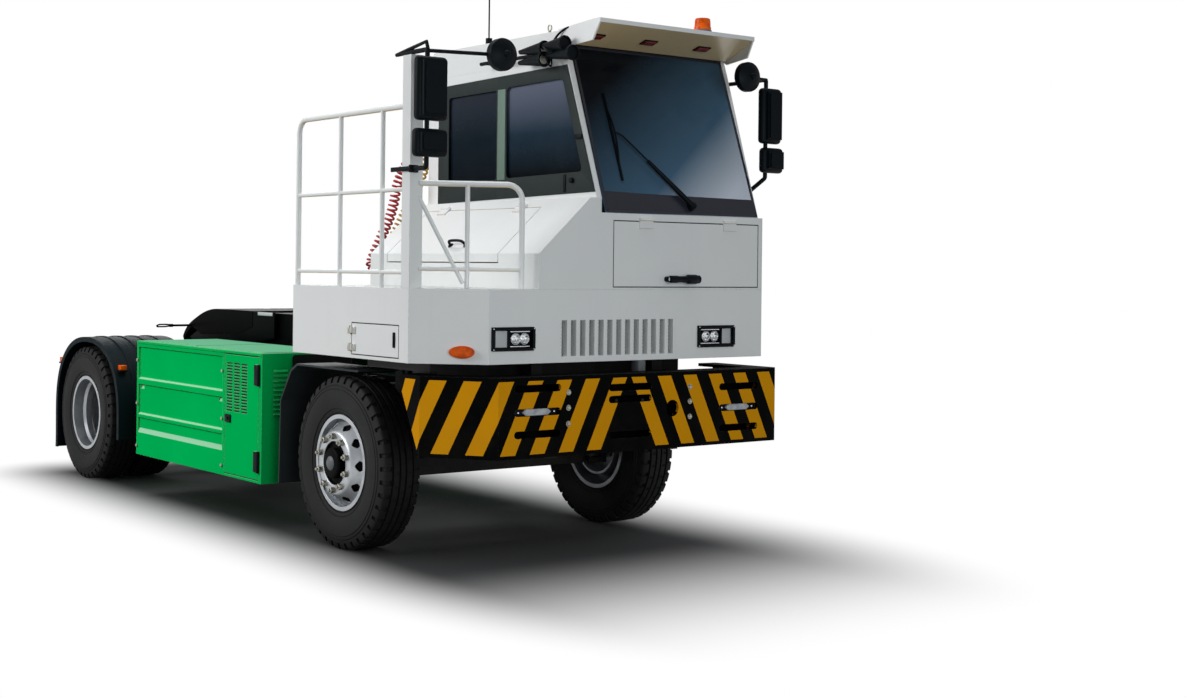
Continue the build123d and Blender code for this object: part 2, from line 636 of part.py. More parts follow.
hood_lid = prism(folded_slab(HOOD_LID_TOP, HOOD_LID_LIP, 0, SHEET - 2), "X", HOOD_LID_X)
lid_axis_run = HOOD_LID_TOP + PANEL_GAP + HINGE_R
lid_axis = on_slope(lid_axis_run, HINGE_GAP + HINGE_R)
for x in (HOOD_LID_X[0] + 150, HOOD_LID_X[1] - 250):
    hood_lid += hinge((x, *lid_axis), (x + 100, *lid_axis))
    hood_lid += slope_slab((HOOD_LID_TOP - 40, lid_axis_run), (HINGE_GAP, HINGE_R), (x, x + 100))
    hood_lid += slope_slab((HOOD_LID_TOP - 40, HOOD_LID_TOP - 4), (-2, HINGE_R), (x, x + 100))
PARTS["hood_lid"] = hood_lid

# Cab walls
right_outline = [
    (CAB_REAR_X, DECK_Z),
    (floor_front, DECK_Z),
    (floor_front, HOOD_TOP_Z),
    (screen_x(GUTTER_Z) - GLASS, GUTTER_Z),
    (CAB_REAR_X, GUTTER_Z),
]
right_wall = prism(right_outline, "Y", (CAB_RIGHT_Y, CAB_RIGHT_Y + WALL))
SIDE_WINDOW = [
    (CAB_REAR_X + 130, HOOD_TOP_Z + 12),
    (screen_x(HOOD_TOP_Z + 37) - PILLAR, HOOD_TOP_Z + 37),
    (screen_x(GUTTER_Z - 45) - PILLAR, GUTTER_Z - 45),
    (CAB_REAR_X + 130, GUTTER_Z - 75),
]
right_wall -= prism(SIDE_WINDOW, "Y", (CAB_RIGHT_Y - 5, CAB_RIGHT_Y + WALL + 5))
PARTS["cab_right_wall"] = right_wall

left_outline = [
    (CAB_REAR_X, BODY_Z),
    (floor_front, BODY_Z),
    (floor_front, SCREEN_Z),
    (screen_x(SCREEN_Z) - WALL, SCREEN_Z),
    (screen_x(GUTTER_Z) - GLASS, GUTTER_Z),
    (CAB_REAR_X, GUTTER_Z),
]
left_wall_y = (BODY_HALF_W - WALL, BODY_HALF_W)
left_wall = prism(left_outline, "Y", left_wall_y)
door_hole_x = (DOOR_X[0] - PANEL_GAP, DOOR_X[1] + PANEL_GAP)
door_hole_z = (DOOR_Z[0] - PANEL_GAP, DOOR_Z[1] + PANEL_GAP)
cut_y = (left_wall_y[0] - 5, left_wall_y[1] + 5)
left_wall -= block(door_hole_x, cut_y, door_hole_z)
LEFT_WINDOW_Z = (SCREEN_Z + 125, GUTTER_Z - 75)
LEFT_WINDOW = [
    (DOOR_X[1] + 90, LEFT_WINDOW_Z[0]),
    (screen_x(LEFT_WINDOW_Z[0]) - PILLAR, LEFT_WINDOW_Z[0]),
    (screen_x(LEFT_WINDOW_Z[1]) - PILLAR, LEFT_WINDOW_Z[1]),
    (DOOR_X[1] + 90, LEFT_WINDOW_Z[1]),
]
left_wall -= prism(LEFT_WINDOW, "Y", cut_y)
PARTS["cab_left_wall"] = left_wall

DOOR_WINDOW_X = (DOOR_X[0] + 90, DOOR_X[1] - 90)
DOOR_WINDOW_Z = (SCREEN_Z + 45, DOOR_Z[1] - 90)
door = block(DOOR_X, left_wall_y, DOOR_Z)
door -= block(DOOR_WINDOW_X, cut_y, DOOR_WINDOW_Z)
door_axis = (DOOR_X[1] + PANEL_GAP + HINGE_R, BODY_HALF_W + HINGE_GAP + HINGE_R)
for z in (DOOR_Z[0] + 150, DOOR_Z[1] - 270):
    door += hinge((*door_axis, z), (*door_axis, z + 120))
    door += block((DOOR_X[1] - 50, door_axis[0]), (BODY_HALF_W + HINGE_GAP, door_axis[1]), (z, z + 120))
    door += block((DOOR_X[1] - 50, DOOR_X[1] - 5), (BODY_HALF_W - 2, door_axis[1]), (z, z + 120))
handle_x = (DOOR_X[0] + 50, DOOR_X[0] + 190)
handle_z = 1980
door += block(handle_x, (BODY_HALF_W - 2, BODY_HALF_W + 30), (handle_z, handle_z + 35))
PARTS["cab_door"] = door
glass_y = (BODY_HALF_W - WALL / 2 - GLASS, BODY_HALF_W - WALL / 2)
PARTS["door_glass"] = block(DOOR_WINDOW_X, glass_y, DOOR_WINDOW_Z)

rear_wall_x = (CAB_REAR_X, CAB_REAR_X + WALL)
rear_wall_y = (CAB_RIGHT_Y + WALL, BODY_HALF_W - WALL)
rear_wall = block(rear_wall_x, rear_wall_y, (BODY_Z, GUTTER_Z))
REAR_WINDOW_Y = (rear_wall_y[0] + 110, rear_wall_y[1] - 110)
REAR_WINDOW_Z = (SCREEN_Z + 45, GUTTER_Z - 110)
rear_wall -= block((CAB_REAR_X - 5, CAB_REAR_X + WALL + 5), REAR_WINDOW_Y, REAR_WINDOW_Z)
PARTS["cab_rear_wall"] = rear_wall

# Glass: windscreen, side windows and rear window
screen_y = (CAB_RIGHT_Y + WALL, BODY_HALF_W - WALL)
screen_outline = [
    (BODY_FRONT_X, SCREEN_Z),
    (SCREEN_TOP_X, SCREEN_TOP_Z),
    (SCREEN_TOP_X - GLASS, SCREEN_TOP_Z),
    (BODY_FRONT_X - GLASS, SCREEN_Z),
]
windscreen = prism(screen_outline, "Y", screen_y)
side_glass = prism(SIDE_WINDOW, "Y", (CAB_RIGHT_Y + 14, CAB_RIGHT_Y + 14 + GLASS))
left_glass = prism(LEFT_WINDOW, "Y", glass_y)
rear_glass_x = (CAB_REAR_X + WALL / 2, CAB_REAR_X + WALL / 2 + GLASS)
rear_glass = block(rear_glass_x, REAR_WINDOW_Y, REAR_WINDOW_Z)
PARTS["windscreen"] = windscreen
PARTS["side_glass"] = group(side_glass, left_glass, rear_glass)

roof_outline = [
    (CAB_REAR_X, GUTTER_Z),
    (screen_x(GUTTER_Z) - GLASS, GUTTER_Z),
    (SCREEN_TOP_X - GLASS, SCREEN_TOP_Z),
    (SCREEN_TOP_X, SCREEN_TOP_Z),
    (SCREEN_TOP_X - 30, ROOF_Z),
    (CAB_REAR_X + 60, ROOF_Z),
    (CAB_REAR_X, ROOF_Z - 60),
]
roof = prism(roof_outline, "Y", (CAB_RIGHT_Y, BODY_HALF_W))
roof_inner = (CAB_REAR_X + WALL, SCREEN_TOP_X - 120)
roof -= block(roof_inner, screen_y, (GUTTER_Z - 5, ROOF_Z - WALL))
PARTS["cab_roof"] = roof

visor_outline = [
    (SCREEN_TOP_X - 30, ROOF_Z),
    (VISOR_FRONT_X - 60, VISOR_TOP_Z),
    (VISOR_FRONT_X, VISOR_TOP_Z),
    (VISOR_FRONT_X, VISOR_TOP_Z - VISOR_LIP),
    (SCREEN_TOP_X + 60, SCREEN_TOP_Z - 10),
    (SCREEN_TOP_X, SCREEN_TOP_Z),
]
visor_y = (CAB_RIGHT_Y - VISOR_SIDE, BODY_HALF_W)
visor_left = [(SCREEN_TOP_X - 35, visor_y[1]), (VISOR_FRONT_X, visor_y[1] - VISOR_TAPER)]
visor_plan = [(SCREEN_TOP_X - 35, visor_y[0]), (VISOR_FRONT_X, visor_y[0])] + visor_left[::-1]
visor = prism(visor_outline, "Y", visor_y)
cheek_outline = [
    (VISOR_FRONT_X - 4, VISOR_TOP_Z - VISOR_LIP + 4),
    (VISOR_FRONT_X - 75, SCREEN_TOP_Z - 15),
    (SCREEN_TOP_X + 50, SCREEN_TOP_Z - 30),
    (SCREEN_TOP_X + 15, SCREEN_TOP_Z - 10),
    (SCREEN_TOP_X + 15, SCREEN_TOP_Z + 30),
]
right_cheek = prism(cheek_outline, "Y", (visor_y[0], visor_y[0] + VISOR_CHEEK))
left_plan = visor_left + [(x, y - VISOR_CHEEK) for x, y in visor_left[::-1]]
left_cheek = prism(cheek_outline, "Y", (visor_y[1] - VISOR_TAPER - 40, visor_y[1] + 5))
left_cheek &= prism(left_plan, "Z", (SCREEN_TOP_Z - 60, VISOR_TOP_Z))
visor &= prism(visor_plan, "Z", (SCREEN_TOP_Z - 60, VISOR_TOP_Z + 5))
PARTS["visor"] = visor + right_cheek + left_cheek

# Cab inside, seen through the glass
SEAT_X = 1620
SEAT_Y = 560
seat_floor = BODY_Z + WALL
seat = block((SEAT_X - 230, SEAT_X + 230), (SEAT_Y - 220, SEAT_Y + 220), (seat_floor, seat_floor + 300))
cushion_z = (seat_floor + 295, seat_floor + 440)
seat += block((SEAT_X - 260, SEAT_X + 260), (SEAT_Y - 250, SEAT_Y + 250), cushion_z)
seat_back = [
    (SEAT_X - 260, seat_floor + 400),
    (SEAT_X - 140, seat_floor + 400),
    (SEAT_X - 290, seat_floor + 1180),
    (SEAT_X - 390, seat_floor + 1180),
]
seat += prism(seat_back, "Y", (SEAT_Y - 240, SEAT_Y + 240))
PARTS["driver_seat"] = seat

DASH_X = (BODY_FRONT_X - 494, BODY_FRONT_X - 114)
dash_outline = [
    (DASH_X[1], seat_floor),
    (DASH_X[1], SCREEN_Z - 20),
    (DASH_X[0] + 120, SCREEN_Z - 20),
    (DASH_X[0], SCREEN_Z - 180),
    (DASH_X[0] + 60, SCREEN_Z - 400),
    (DASH_X[1] - 180, seat_floor),
]
dash = prism(dash_outline, "Y", (screen_y[0], screen_y[1]))
COLUMN_FOOT = (DASH_X[0] + 60, SEAT_Y, SCREEN_Z - 145)
COLUMN_TOP = (DASH_X[0] - 130, SEAT_Y, SCREEN_Z + 15)
dash += rod(COLUMN_FOOT, COLUMN_TOP, 32)
PARTS["dash"] = dash
column_dir = (Vector(*COLUMN_TOP) - Vector(*COLUMN_FOOT)).normalized()
wheel_plane = Plane(origin=COLUMN_TOP, z_dir=column_dir)
steering_wheel = wheel_plane * (Pos(0, 0, 20) * Torus(215, 17))
steering_wheel += wheel_plane * (Pos(0, 0, 20) * Cylinder(50, 40))
for turn in (0, 120, 240):
    spoke = Rot(0, 0, turn) * (Pos(110, 0, 20) * Box(210, 30, 14))
    steering_wheel += wheel_plane * spoke
PARTS["steering_wheel"] = steering_wheel


# Battery boxes: the right one has a louvred service door
def battery_box():
    """A box with framed panels on its outer face, drawn for the right side."""
    shape = block(BOX_X, (-BOX_OUTER_Y, -BOX_INNER_Y), BOX_Z)
    rim_x = (BOX_X[0] + 8, BOX_X[1] - 8)
    shape += block(rim_x, (-BOX_OUTER_Y - BOX_RIM, -BOX_INNER_Y - 50), (BOX_Z[1] - 18, BOX_Z[1]))
    panel_x = (BOX_X[0] + 30, BATTERY_DOOR_X[0] - 40)
    # Panels between the ledges: low and high Z, run of the sloped ledge at its foot
    panels = [
        (BOX_Z[1] - 290, BOX_Z[1] - 45, 12),
        (BOX_Z[1] - 560, BOX_Z[1] - 330, 12),
        (BOX_Z[0] + 170, BOX_Z[0] + 285, 34),
    ]
    for low, high, foot in panels:
        recess = [
            (-BOX_OUTER_Y - 5, low),
            (-BOX_OUTER_Y, low),
            (BOX_PANEL_DEPTH - BOX_OUTER_Y, low + foot),
            (BOX_PANEL_DEPTH - BOX_OUTER_Y, high),
            (-BOX_OUTER_Y - 5, high),
        ]
        shape -= prism(recess, "X", panel_x)
    notch_z = panels[1][1]
    for x in (panel_x[0] + 18, panel_x[1] - 78):
        pull = [
            (-BOX_OUTER_Y, notch_z - 60),
            (-BOX_OUTER_Y, notch_z - 5),
            (NOTCH_DEPTH - BOX_OUTER_Y, notch_z - 5),
        ]
        shape -= prism(pull, "X", (x, x + 60))
    lid_y = (40 - BOX_OUTER_Y, -BOX_INNER_Y - 40)
    for x in ((BOX_X[0] + 60, -350), (-310, BOX_X[1] - 60)):
        shape += block(x, lid_y, (BOX_Z[1] - 1, BOX_Z[1] + LID_RISE))
    return shape


right_box = battery_box()
recess_x = (BATTERY_DOOR_X[0] - PANEL_GAP, BATTERY_DOOR_X[1] + PANEL_GAP)
recess_z = (BATTERY_DOOR_Z[0] - PANEL_GAP, BATTERY_DOOR_Z[1] + PANEL_GAP)
right_box -= block(recess_x, (-BOX_OUTER_Y - 5, 46 - BOX_OUTER_Y), recess_z)
for y in (140 - BOX_OUTER_Y, 320 - BOX_OUTER_Y):
    for row in range(FRONT_LOUVRES):
        z = BOX_Z[1] - 110 - row * 32
        hump = [(BOX_X[1] - 1, z), (BOX_X[1] + 9, z - 14), (BOX_X[1] - 1, z - 17)]
        right_box += prism(hump, "Y", (y - 52, y + 52))
PARTS["battery_box_right"] = right_box
PARTS["battery_box_left"] = mirror(battery_box(), about=Plane.XZ)

battery_door = block(BATTERY_DOOR_X, (-BOX_OUTER_Y, 40 - BOX_OUTER_Y), BATTERY_DOOR_Z)
LOUVRE_X = (230, 560)
LOUVRE_COLUMNS = 3
LOUVRE_ROWS = 17
LOUVRE_Z = (760, 1105)
column_pitch = (LOUVRE_X[1] - LOUVRE_X[0]) / LOUVRE_COLUMNS
row_pitch = (LOUVRE_Z[1] - LOUVRE_Z[0]) / LOUVRE_ROWS
for column in range(LOUVRE_COLUMNS):
    x = LOUVRE_X[0] + column * column_pitch
    for row in range(LOUVRE_ROWS):
        z = LOUVRE_Z[0] + row * row_pitch
        slot_y = (-BOX_OUTER_Y - 5, 12 - BOX_OUTER_Y)
        battery_door -= block((x, x + column_pitch - 24), slot_y, (z, z + row_pitch * 0.5))
box_axis = (BATTERY_DOOR_X[1] + PANEL_GAP + HINGE_R, -BOX_OUTER_Y - HINGE_R - HINGE_GAP)
for z in (BATTERY_DOOR_Z[0] + 50, BATTERY_DOOR_Z[1] - 190):
    battery_door += hinge((*box_axis, z), (*box_axis, z + 140))
    strap_y = (box_axis[1], -BOX_OUTER_Y - HINGE_GAP)
    battery_door += block((BATTERY_DOOR_X[1] - 45, box_axis[0]), strap_y, (z, z + 140))
    strap_y = (box_axis[1], 2 - BOX_OUTER_Y)
    battery_door += block((BATTERY_DOOR_X[1] - 45, BATTERY_DOOR_X[1] - 5), strap_y, (z, z + 140))
PARTS["battery_door"] = battery_door

# Front mudguards, behind and over the front wheels
guard_x = FRONT_AXLE_X
guard_line = [
    (guard_x - 755, 330),
    (guard_x - 738, 880),
    (guard_x - 600, 1090),
    (guard_x - 520, 1132),
    (guard_x + 260, 1132),
]


def guard_sheet(line, thickness, span):
    """A bent sheet: a line seen from the side, thickened inward to its centre, across a span of Y."""
    middle_x = sum(p[0] for p in line) / len(line)
    inner = []
    for x, z in reversed(line):
        toward = 1 if x < middle_x else -1
        drop = thickness if z > 1000 else 0
        inner.append((x + toward * thickness, z - drop))
    return prism(line + inner, "Y", span)


GUARD_T = 12
GUARD_LIP = 40
front_guard = guard_sheet(guard_line, GUARD_T, (880, 1172))
front_guard += block((guard_x - 240, guard_x - 200), (RAIL_OUTER_Y, 900), (1132 - 30, 1132 - GUARD_T + 1))
arm_x = (guard_x - 240, guard_x - 200)
front_guard += block(arm_x, (RAIL_OUTER_Y, RAIL_OUTER_Y + 12), (RAIL_Z + 40, 1132 - 20))
PARTS["front_mudguards"] = group(front_guard, mirror(front_guard, about=Plane.XZ))

# Rear mudguards, arched over the twin wheels
rear_x = REAR_AXLE_X
GUARD_MIDDLE_X = rear_x + 85
GUARD_HALF = 675
GUARD_FOOT_Z = 550
GUARD_RISE = 615
GUARD_SQUARE = 2 / 2.3


def guard_arch(depth):
    """Points of a squarish arch, moved in from the guard's outer line by a depth."""
    points = [(GUARD_MIDDLE_X - GUARD_HALF + depth, 210)]
    for step in range(13):
        turn = math.radians(180 - 15 * step)
        across = math.copysign(abs(math.cos(turn)) ** GUARD_SQUARE, math.cos(turn))
        height = abs(math.sin(turn)) ** GUARD_SQUARE
        points.append(
            (GUARD_MIDDLE_X + (GUARD_HALF - depth) * across, GUARD_FOOT_Z + (GUARD_RISE - depth) * height)
        )
    points.append((GUARD_MIDDLE_X + GUARD_HALF - depth, 385))
    return points


GUARD_Y = (590, BODY_HALF_W)
rear_guard = curved_sheet(guard_arch(0), guard_arch(GUARD_T), GUARD_Y)
rear_guard += curved_sheet(guard_arch(2), guard_arch(GUARD_LIP), (GUARD_Y[1] - GUARD_T, GUARD_Y[1]))
for y in (700, 830, 960, 1090):
    rear_guard += curved_sheet(guard_arch(-6), guard_arch(4), (y, y + 30))
guard_top_z = GUARD_FOOT_Z + GUARD_RISE
for x in (rear_x - 180, rear_x + 330):
    bracket = block((x - 25, x + 25), (RAIL_OUTER_Y, GUARD_Y[0] + 50), (1090, guard_top_z - GUARD_T / 2))
    bracket += block((x - 25, x + 25), (RAIL_OUTER_Y, RAIL_OUTER_Y + 20), (RAIL_Z + 40, 1100))
    kept = block((x - 50, x + 50), (RAIL_OUTER_Y, GUARD_Y[0] + 60), (RAIL_Z, guard_top_z - 45))
    rear_guard += bracket & kept
PARTS["rear_mudguards"] = group(rear_guard, mirror(rear_guard, about=Plane.XZ))

# Lifting boom of the coupling
arm_outline = [
    (BOOM_PIVOT[0] + 65, BOOM_PIVOT[1] - 50),
    (BOOM_PIVOT[0] + 65, BOOM_PIVOT[1] + 60),
    (-60, 1340),
    (-140, 1400),
    (-700, 1400),
    (-800, 1265),
    (COUPLING_X - 150, 1265),
    (COUPLING_X - 150, COUPLING_PIN_Z - 60),
    (-800, 1090),
    (-150, 1090),
    (BOOM_PIVOT[0] - 40, BOOM_PIVOT[1] - 65),
]
arm = prism(arm_outline, "Y", BOOM_ARM_Y)
boom = both_sides(arm)
pin_reach = ear_y[1] + 6
boom += bar_y(BOOM_PIVOT[0], (-pin_reach, pin_reach), BOOM_PIVOT[1], BOOM_PIN_R)
boom += block((-690, -150), (-BOOM_ARM_Y[0] - 1, BOOM_ARM_Y[0] + 1), (1376, 1400))
boom += bar_y(COUPLING_X, (-BOOM_ARM_Y[0] - 1, BOOM_ARM_Y[0] + 1), COUPLING_PIN_Z, BOOM_PIN_R)
PARTS["lift_boom"] = boom

# Coupling plate with its ramps, throat and kingpin bore
RAMP_START_X = COUPLING_X - 100
RAMP_END = (COUPLING_X - 757, 1165)
plate_front = COUPLING_X + 500
# The ramp's line from the flat top to its foot: distance behind its start, drop below the top
RAMP_LINE = [(0, 0), (140, 9), (300, 45), (427, 90), (591, 172), (657, 245)]
ramp_top = [(RAMP_START_X - run, COUPLING_TOP_Z - drop) for run, drop in RAMP_LINE]
ramp_under = [(RAMP_START_X - run * 0.965, COUPLING_TOP_Z - drop - COUPLING_T) for run, drop in RAMP_LINE]
plate_y = (-COUPLING_HALF_W, COUPLING_HALF_W)
plate = block((RAMP_START_X, plate_front), plate_y, (COUPLING_TOP_Z - COUPLING_T, COUPLING_TOP_Z))
plate += curved_sheet(ramp_top, ramp_under, plate_y)
skirt_line = [
    (plate_front, COUPLING_TOP_Z - COUPLING_T + 1),
    (plate_front, COUPLING_TOP_Z - 120),
    (COUPLING_X + 250, COUPLING_TOP_Z - 190),
    (COUPLING_X - 420, COUPLING_TOP_Z - 215),
    (RAMP_START_X - 500, COUPLING_TOP_Z - 145),
    (RAMP_START_X - 300, COUPLING_TOP_Z - 60),
    (RAMP_START_X - 100, COUPLING_TOP_Z - COUPLING_T + 10),
]
skirt = prism(skirt_line, "Y", (COUPLING_HALF_W - 22, COUPLING_HALF_W))
plate += both_sides(skirt)
throat = [
    (RAMP_END[0] - 50, 290),
    (COUPLING_X - 180, 60),
    (COUPLING_X - 90, 32),
    (COUPLING_X - 90, -32),
    (COUPLING_X - 180, -60),
    (RAMP_END[0] - 50, -290),
]
plate -= prism(throat, "Z", (1000, COUPLING_TOP_Z + 5))
lug_y = (BOOM_ARM_Y[0] - 70, BOOM_ARM_Y[0] - 10)
lug_z = (COUPLING_PIN_Z - 60, COUPLING_TOP_Z - COUPLING_T + 1)
lug = block((COUPLING_X - 70, COUPLING_X + 70), lug_y, lug_z)
plate += both_sides(lug)
plate -= bar_y(COUPLING_X, (-500, 500), COUPLING_PIN_Z, BOOM_PIN_R + RUNNING_GAP)
plate -= rod((COUPLING_X, 0, 1300), (COUPLING_X, 0, 1500), KINGPIN_BORE_R)
HANDLE_X = COUPLING_X - 620
HANDLE_Z = COUPLING_TOP_Z - 150
grip_y = -COUPLING_HALF_W - HANDLE_L
plate += bar_y(HANDLE_X, (grip_y - 6, -COUPLING_HALF_W + 20), HANDLE_Z, 9)
plate += bar_y(HANDLE_X, (grip_y - 14, grip_y + 14), HANDLE_Z, 13)
grip = [
    (HANDLE_X + 4, grip_y, HANDLE_Z + 3),
    (HANDLE_X + 20, grip_y - 50, HANDLE_Z + 10),
    (HANDLE_X + 20, grip_y - 112, HANDLE_Z + 10),
    (HANDLE_X, grip_y - 128, HANDLE_Z),
    (HANDLE_X - 20, grip_y - 112, HANDLE_Z - 10),
    (HANDLE_X - 20, grip_y - 50, HANDLE_Z - 10),
    (HANDLE_X - 4, grip_y, HANDLE_Z - 3),
]
plate += tube(grip, 6, 10)
PARTS["fifth_wheel"] = plate

# Lift cylinders: a barrel on the frame's cross pin and a rod up to the boom
lift = Vector(LIFT_EYE[0] - LIFT_BASE[0], 0, LIFT_EYE[1] - LIFT_BASE[1])
lift_dir = lift.normalized()


def along_lift(y, distance):
    base = Vector(LIFT_BASE[0], y, LIFT_BASE[1]) + lift_dir * distance
    return (base.X, base.Y, base.Z)


barrels = []
rods = []
for side in (-1, 1):
    y = side * LIFT_Y
    barrel = rod(along_lift(y, 0), along_lift(y, 590), BARREL_R)
    barrel += bar_y(LIFT_BASE[0], (y - 40, y + 40), LIFT_BASE[1], 58)
    barrel -= rod(along_lift(y, 590 - BARREL_BORE_L), along_lift(y, 600), ROD_R + RUNNING_GAP)
    barrel -= bar_y(LIFT_BASE[0], (y - 60, y + 60), LIFT_BASE[1], BOOM_PIN_R + RUNNING_GAP)
    barrels.append(barrel)
    stem = rod(along_lift(y, 600 - BARREL_BORE_L), along_lift(y, lift.length), ROD_R)
    stem += bar_y(LIFT_EYE[0], (y - 35, y + 35), LIFT_EYE[1], 55)
    rods.append(stem)
PARTS["lift_barrels"] = group(*barrels)
PARTS["lift_rods"] = group(*rods)

# Deck post and rails
fence = block(POST_X, POST_Y, (DECK_Z, POST_TOP_Z))
fence_rear_x = BODY_REAR_X + 20
post_face = POST_X[0] + 5
rear_corner = (fence_rear_x, FENCE_Y, FENCE_TOP_Z)
rear_rail = [(fence_rear_x, FENCE_Y, DECK_Z), rear_corner, (post_face, FENCE_Y, FENCE_TOP_Z)]
fence += tube(rear_rail, RAIL_TUBE_R, RAIL_BEND_R)
for share in (0.415, 0.8):
    x = fence_rear_x + (post_face - fence_rear_x) * share
    fence += rod((x, FENCE_Y, DECK_Z), (x, FENCE_Y, FENCE_TOP_Z), CROSS_TUBE_R)
for z in (DECK_Z + 91, DECK_Z + 571):
    fence += rod((fence_rear_x, FENCE_Y, z), (post_face, FENCE_Y, z), CROSS_TUBE_R - 1)
RAIL_START = (POST_X[1] - 8, POST_Y[1] - 20)
RAIL_END = (BODY_FRONT_X - 64, CORNER_Y + 274)
RAIL_TOP = DECK_Z + 606


def front_rail_at(share, z):
    """A point on the line of the front rail, from the post to its end."""
    return (
        RAIL_START[0] + (RAIL_END[0] - RAIL_START[0]) * share,
        RAIL_START[1] + (RAIL_END[1] - RAIL_START[1]) * share,
        z,
    )


front_rail = [front_rail_at(0, RAIL_TOP), front_rail_at(1, RAIL_TOP), front_rail_at(1, DECK_Z)]
fence += tube(front_rail, RAIL_TUBE_R, RAIL_BEND_R)
fence += rod(front_rail_at(0, DECK_Z + 113), front_rail_at(1, DECK_Z + 113), CROSS_TUBE_R - 1)
fence += rod(front_rail_at(0.47, DECK_Z), front_rail_at(0.47, RAIL_TOP), CROSS_TUBE_R)
fence += rod(front_rail_at(0, RAIL_TOP - 80), front_rail_at(0.43, DECK_Z + 30), CROSS_TUBE_R - 2)
PARTS["deck_rails"] = fence


# Mirrors: heads and the rods that carry them
def mirror_head(x, y, z):
    head = block((x - MIRROR_T / 2, x + MIRROR_T / 2), y, z)
    return fillet(head.edges(), MIRROR_ROUND)


RIGHT_MIRROR_X = POST_X[1] + 197
stalk = (RIGHT_MIRROR_X - 60, POST_Y[0] + 20)
upper_z = (POST_TOP_Z - 393, POST_TOP_Z - 30)
lower_z = (POST_TOP_Z - 602, POST_TOP_Z - 425)
mirrors = mirror_head(RIGHT_MIRROR_X, (stalk[1] - 145, stalk[1] + 95), upper_z)
mirrors += mirror_head(RIGHT_MIRROR_X, (stalk[1] - 152, stalk[1] + 98), lower_z)
mirrors += tube(
    [
        (POST_X[1] + HINGE_GAP, stalk[1], 2330),
        (stalk[0], stalk[1], 2330),
        (stalk[0], stalk[1], POST_TOP_Z + MIRROR_ROD_R + HINGE_GAP),
        (POST_X[0] + 30, stalk[1], POST_TOP_Z + MIRROR_ROD_R + HINGE_GAP),
    ],
    MIRROR_ROD_R,
    40,
)
ROUND_MIRROR_R = 95
round_y = stalk[1] + 480
round_z = POST_TOP_Z + 20
mirrors += rod((stalk[0], stalk[1] - 8, round_z - 12), (stalk[0] + 40, round_y, round_z), 11)
mirrors += rod((stalk[0] + 30, round_y, round_z), (stalk[0] + 75, round_y, round_z), ROUND_MIRROR_R)
for z in (POST_TOP_Z - 205, POST_TOP_Z - 515):
    mirrors += rod((stalk[0], stalk[1], z), (RIGHT_MIRROR_X, stalk[1], z), MIRROR_ROD_R - 2)
PARTS["mirrors_right"] = mirrors

LEFT_MIRROR_X = BODY_FRONT_X + 11
stalk = (LEFT_MIRROR_X - 60, BODY_HALF_W + 68)
upper_z = (SCREEN_TOP_Z - 565, SCREEN_TOP_Z - 205)
lower_z = (SCREEN_TOP_Z - 754, SCREEN_TOP_Z - 590)
mirrors = mirror_head(LEFT_MIRROR_X, (stalk[1] - 120, stalk[1] + 110), upper_z)
mirrors += mirror_head(LEFT_MIRROR_X, (stalk[1] - 118, stalk[1] + 114), lower_z)
# Pads on the cab's left side: X and Z of the lower and the upper one
LOWER_PAD = (screen_x(2275) - 95, 2275)
UPPER_PAD = (screen_x(3010) - 127, 3010)
mirrors += tube(
    [
        (LOWER_PAD[0], BODY_HALF_W + MIRROR_PAD, LOWER_PAD[1]),
        (stalk[0], stalk[1], 2370),
        (stalk[0], stalk[1], UPPER_PAD[1]),
        (UPPER_PAD[0], stalk[1], UPPER_PAD[1]),
        (UPPER_PAD[0], BODY_HALF_W + MIRROR_PAD / 2, UPPER_PAD[1]),
    ],
    MIRROR_ROD_R,
    25,
)
for x, z in (LOWER_PAD, UPPER_PAD):
    mirrors += block((x - 30, x + 30), (BODY_HALF_W, BODY_HALF_W + MIRROR_PAD), (z - 35, z + 35))
for z in (SCREEN_TOP_Z - 385, SCREEN_TOP_Z - 672):
    mirrors += rod((stalk[0], stalk[1], z), (LEFT_MIRROR_X, stalk[1], z), MIRROR_ROD_R - 2)
round_y = stalk[1] - 203
mirrors += rod((stalk[0], stalk[1] + 5, UPPER_PAD[1]), (stalk[0] + 25, round_y, UPPER_PAD[1]), 11)
round_back = (stalk[0] + 12, round_y, UPPER_PAD[1])
mirrors += rod(round_back, (stalk[0] + 55, round_y, UPPER_PAD[1]), ROUND_MIRROR_R)
PARTS["mirrors_left"] = mirrors

# Roof fittings
# Horns: front end X, Y, Z
horn_x = SCREEN_TOP_X
horn_y = CAB_RIGHT_Y - 75
horn_z = GUTTER_Z
HORNS = [
    (horn_x - 111, horn_y, horn_z + 69),
    (horn_x - 116, horn_y, horn_z + 2),
    (horn_x + 109, horn_y - 15, horn_z + 76),
    (horn_x + 169, horn_y, horn_z + 15),
]
HORN_L = 250
horns = None
for x, y, z in HORNS:
    flare = Cone(14, 44, HORN_L, align=(Align.CENTER, Align.CENTER, Align.MIN))
    bell = Plane(origin=(x - HORN_L, y, z), z_dir=(1, 0, 0)) * flare
    horns = bell if horns is None else horns + bell
rod_z = horn_z + 35
horns += rod((horn_x - 796, horn_y + 5, rod_z), (horn_x + 14, horn_y + 5, rod_z), 12)
for x in (horn_x - 746, horn_x - 306, horn_x - 46):
    horns += rod((x, CAB_RIGHT_Y, rod_z), (x, horn_y + 5, rod_z), 10)
PARTS["horns"] = horns

ANTENNA_X = CAB_REAR_X + 661
antenna = rod((ANTENNA_X, CAB_RIGHT_Y + 30, ROOF_Z), (ANTENNA_X, CAB_RIGHT_Y + 30, ROOF_Z + 40), 22)
antenna += rod((ANTENNA_X, CAB_RIGHT_Y + 30, ROOF_Z), (ANTENNA_X, CAB_RIGHT_Y + 30, ROOF_Z + ANTENNA_H), 5)
PARTS["antenna"] = antenna

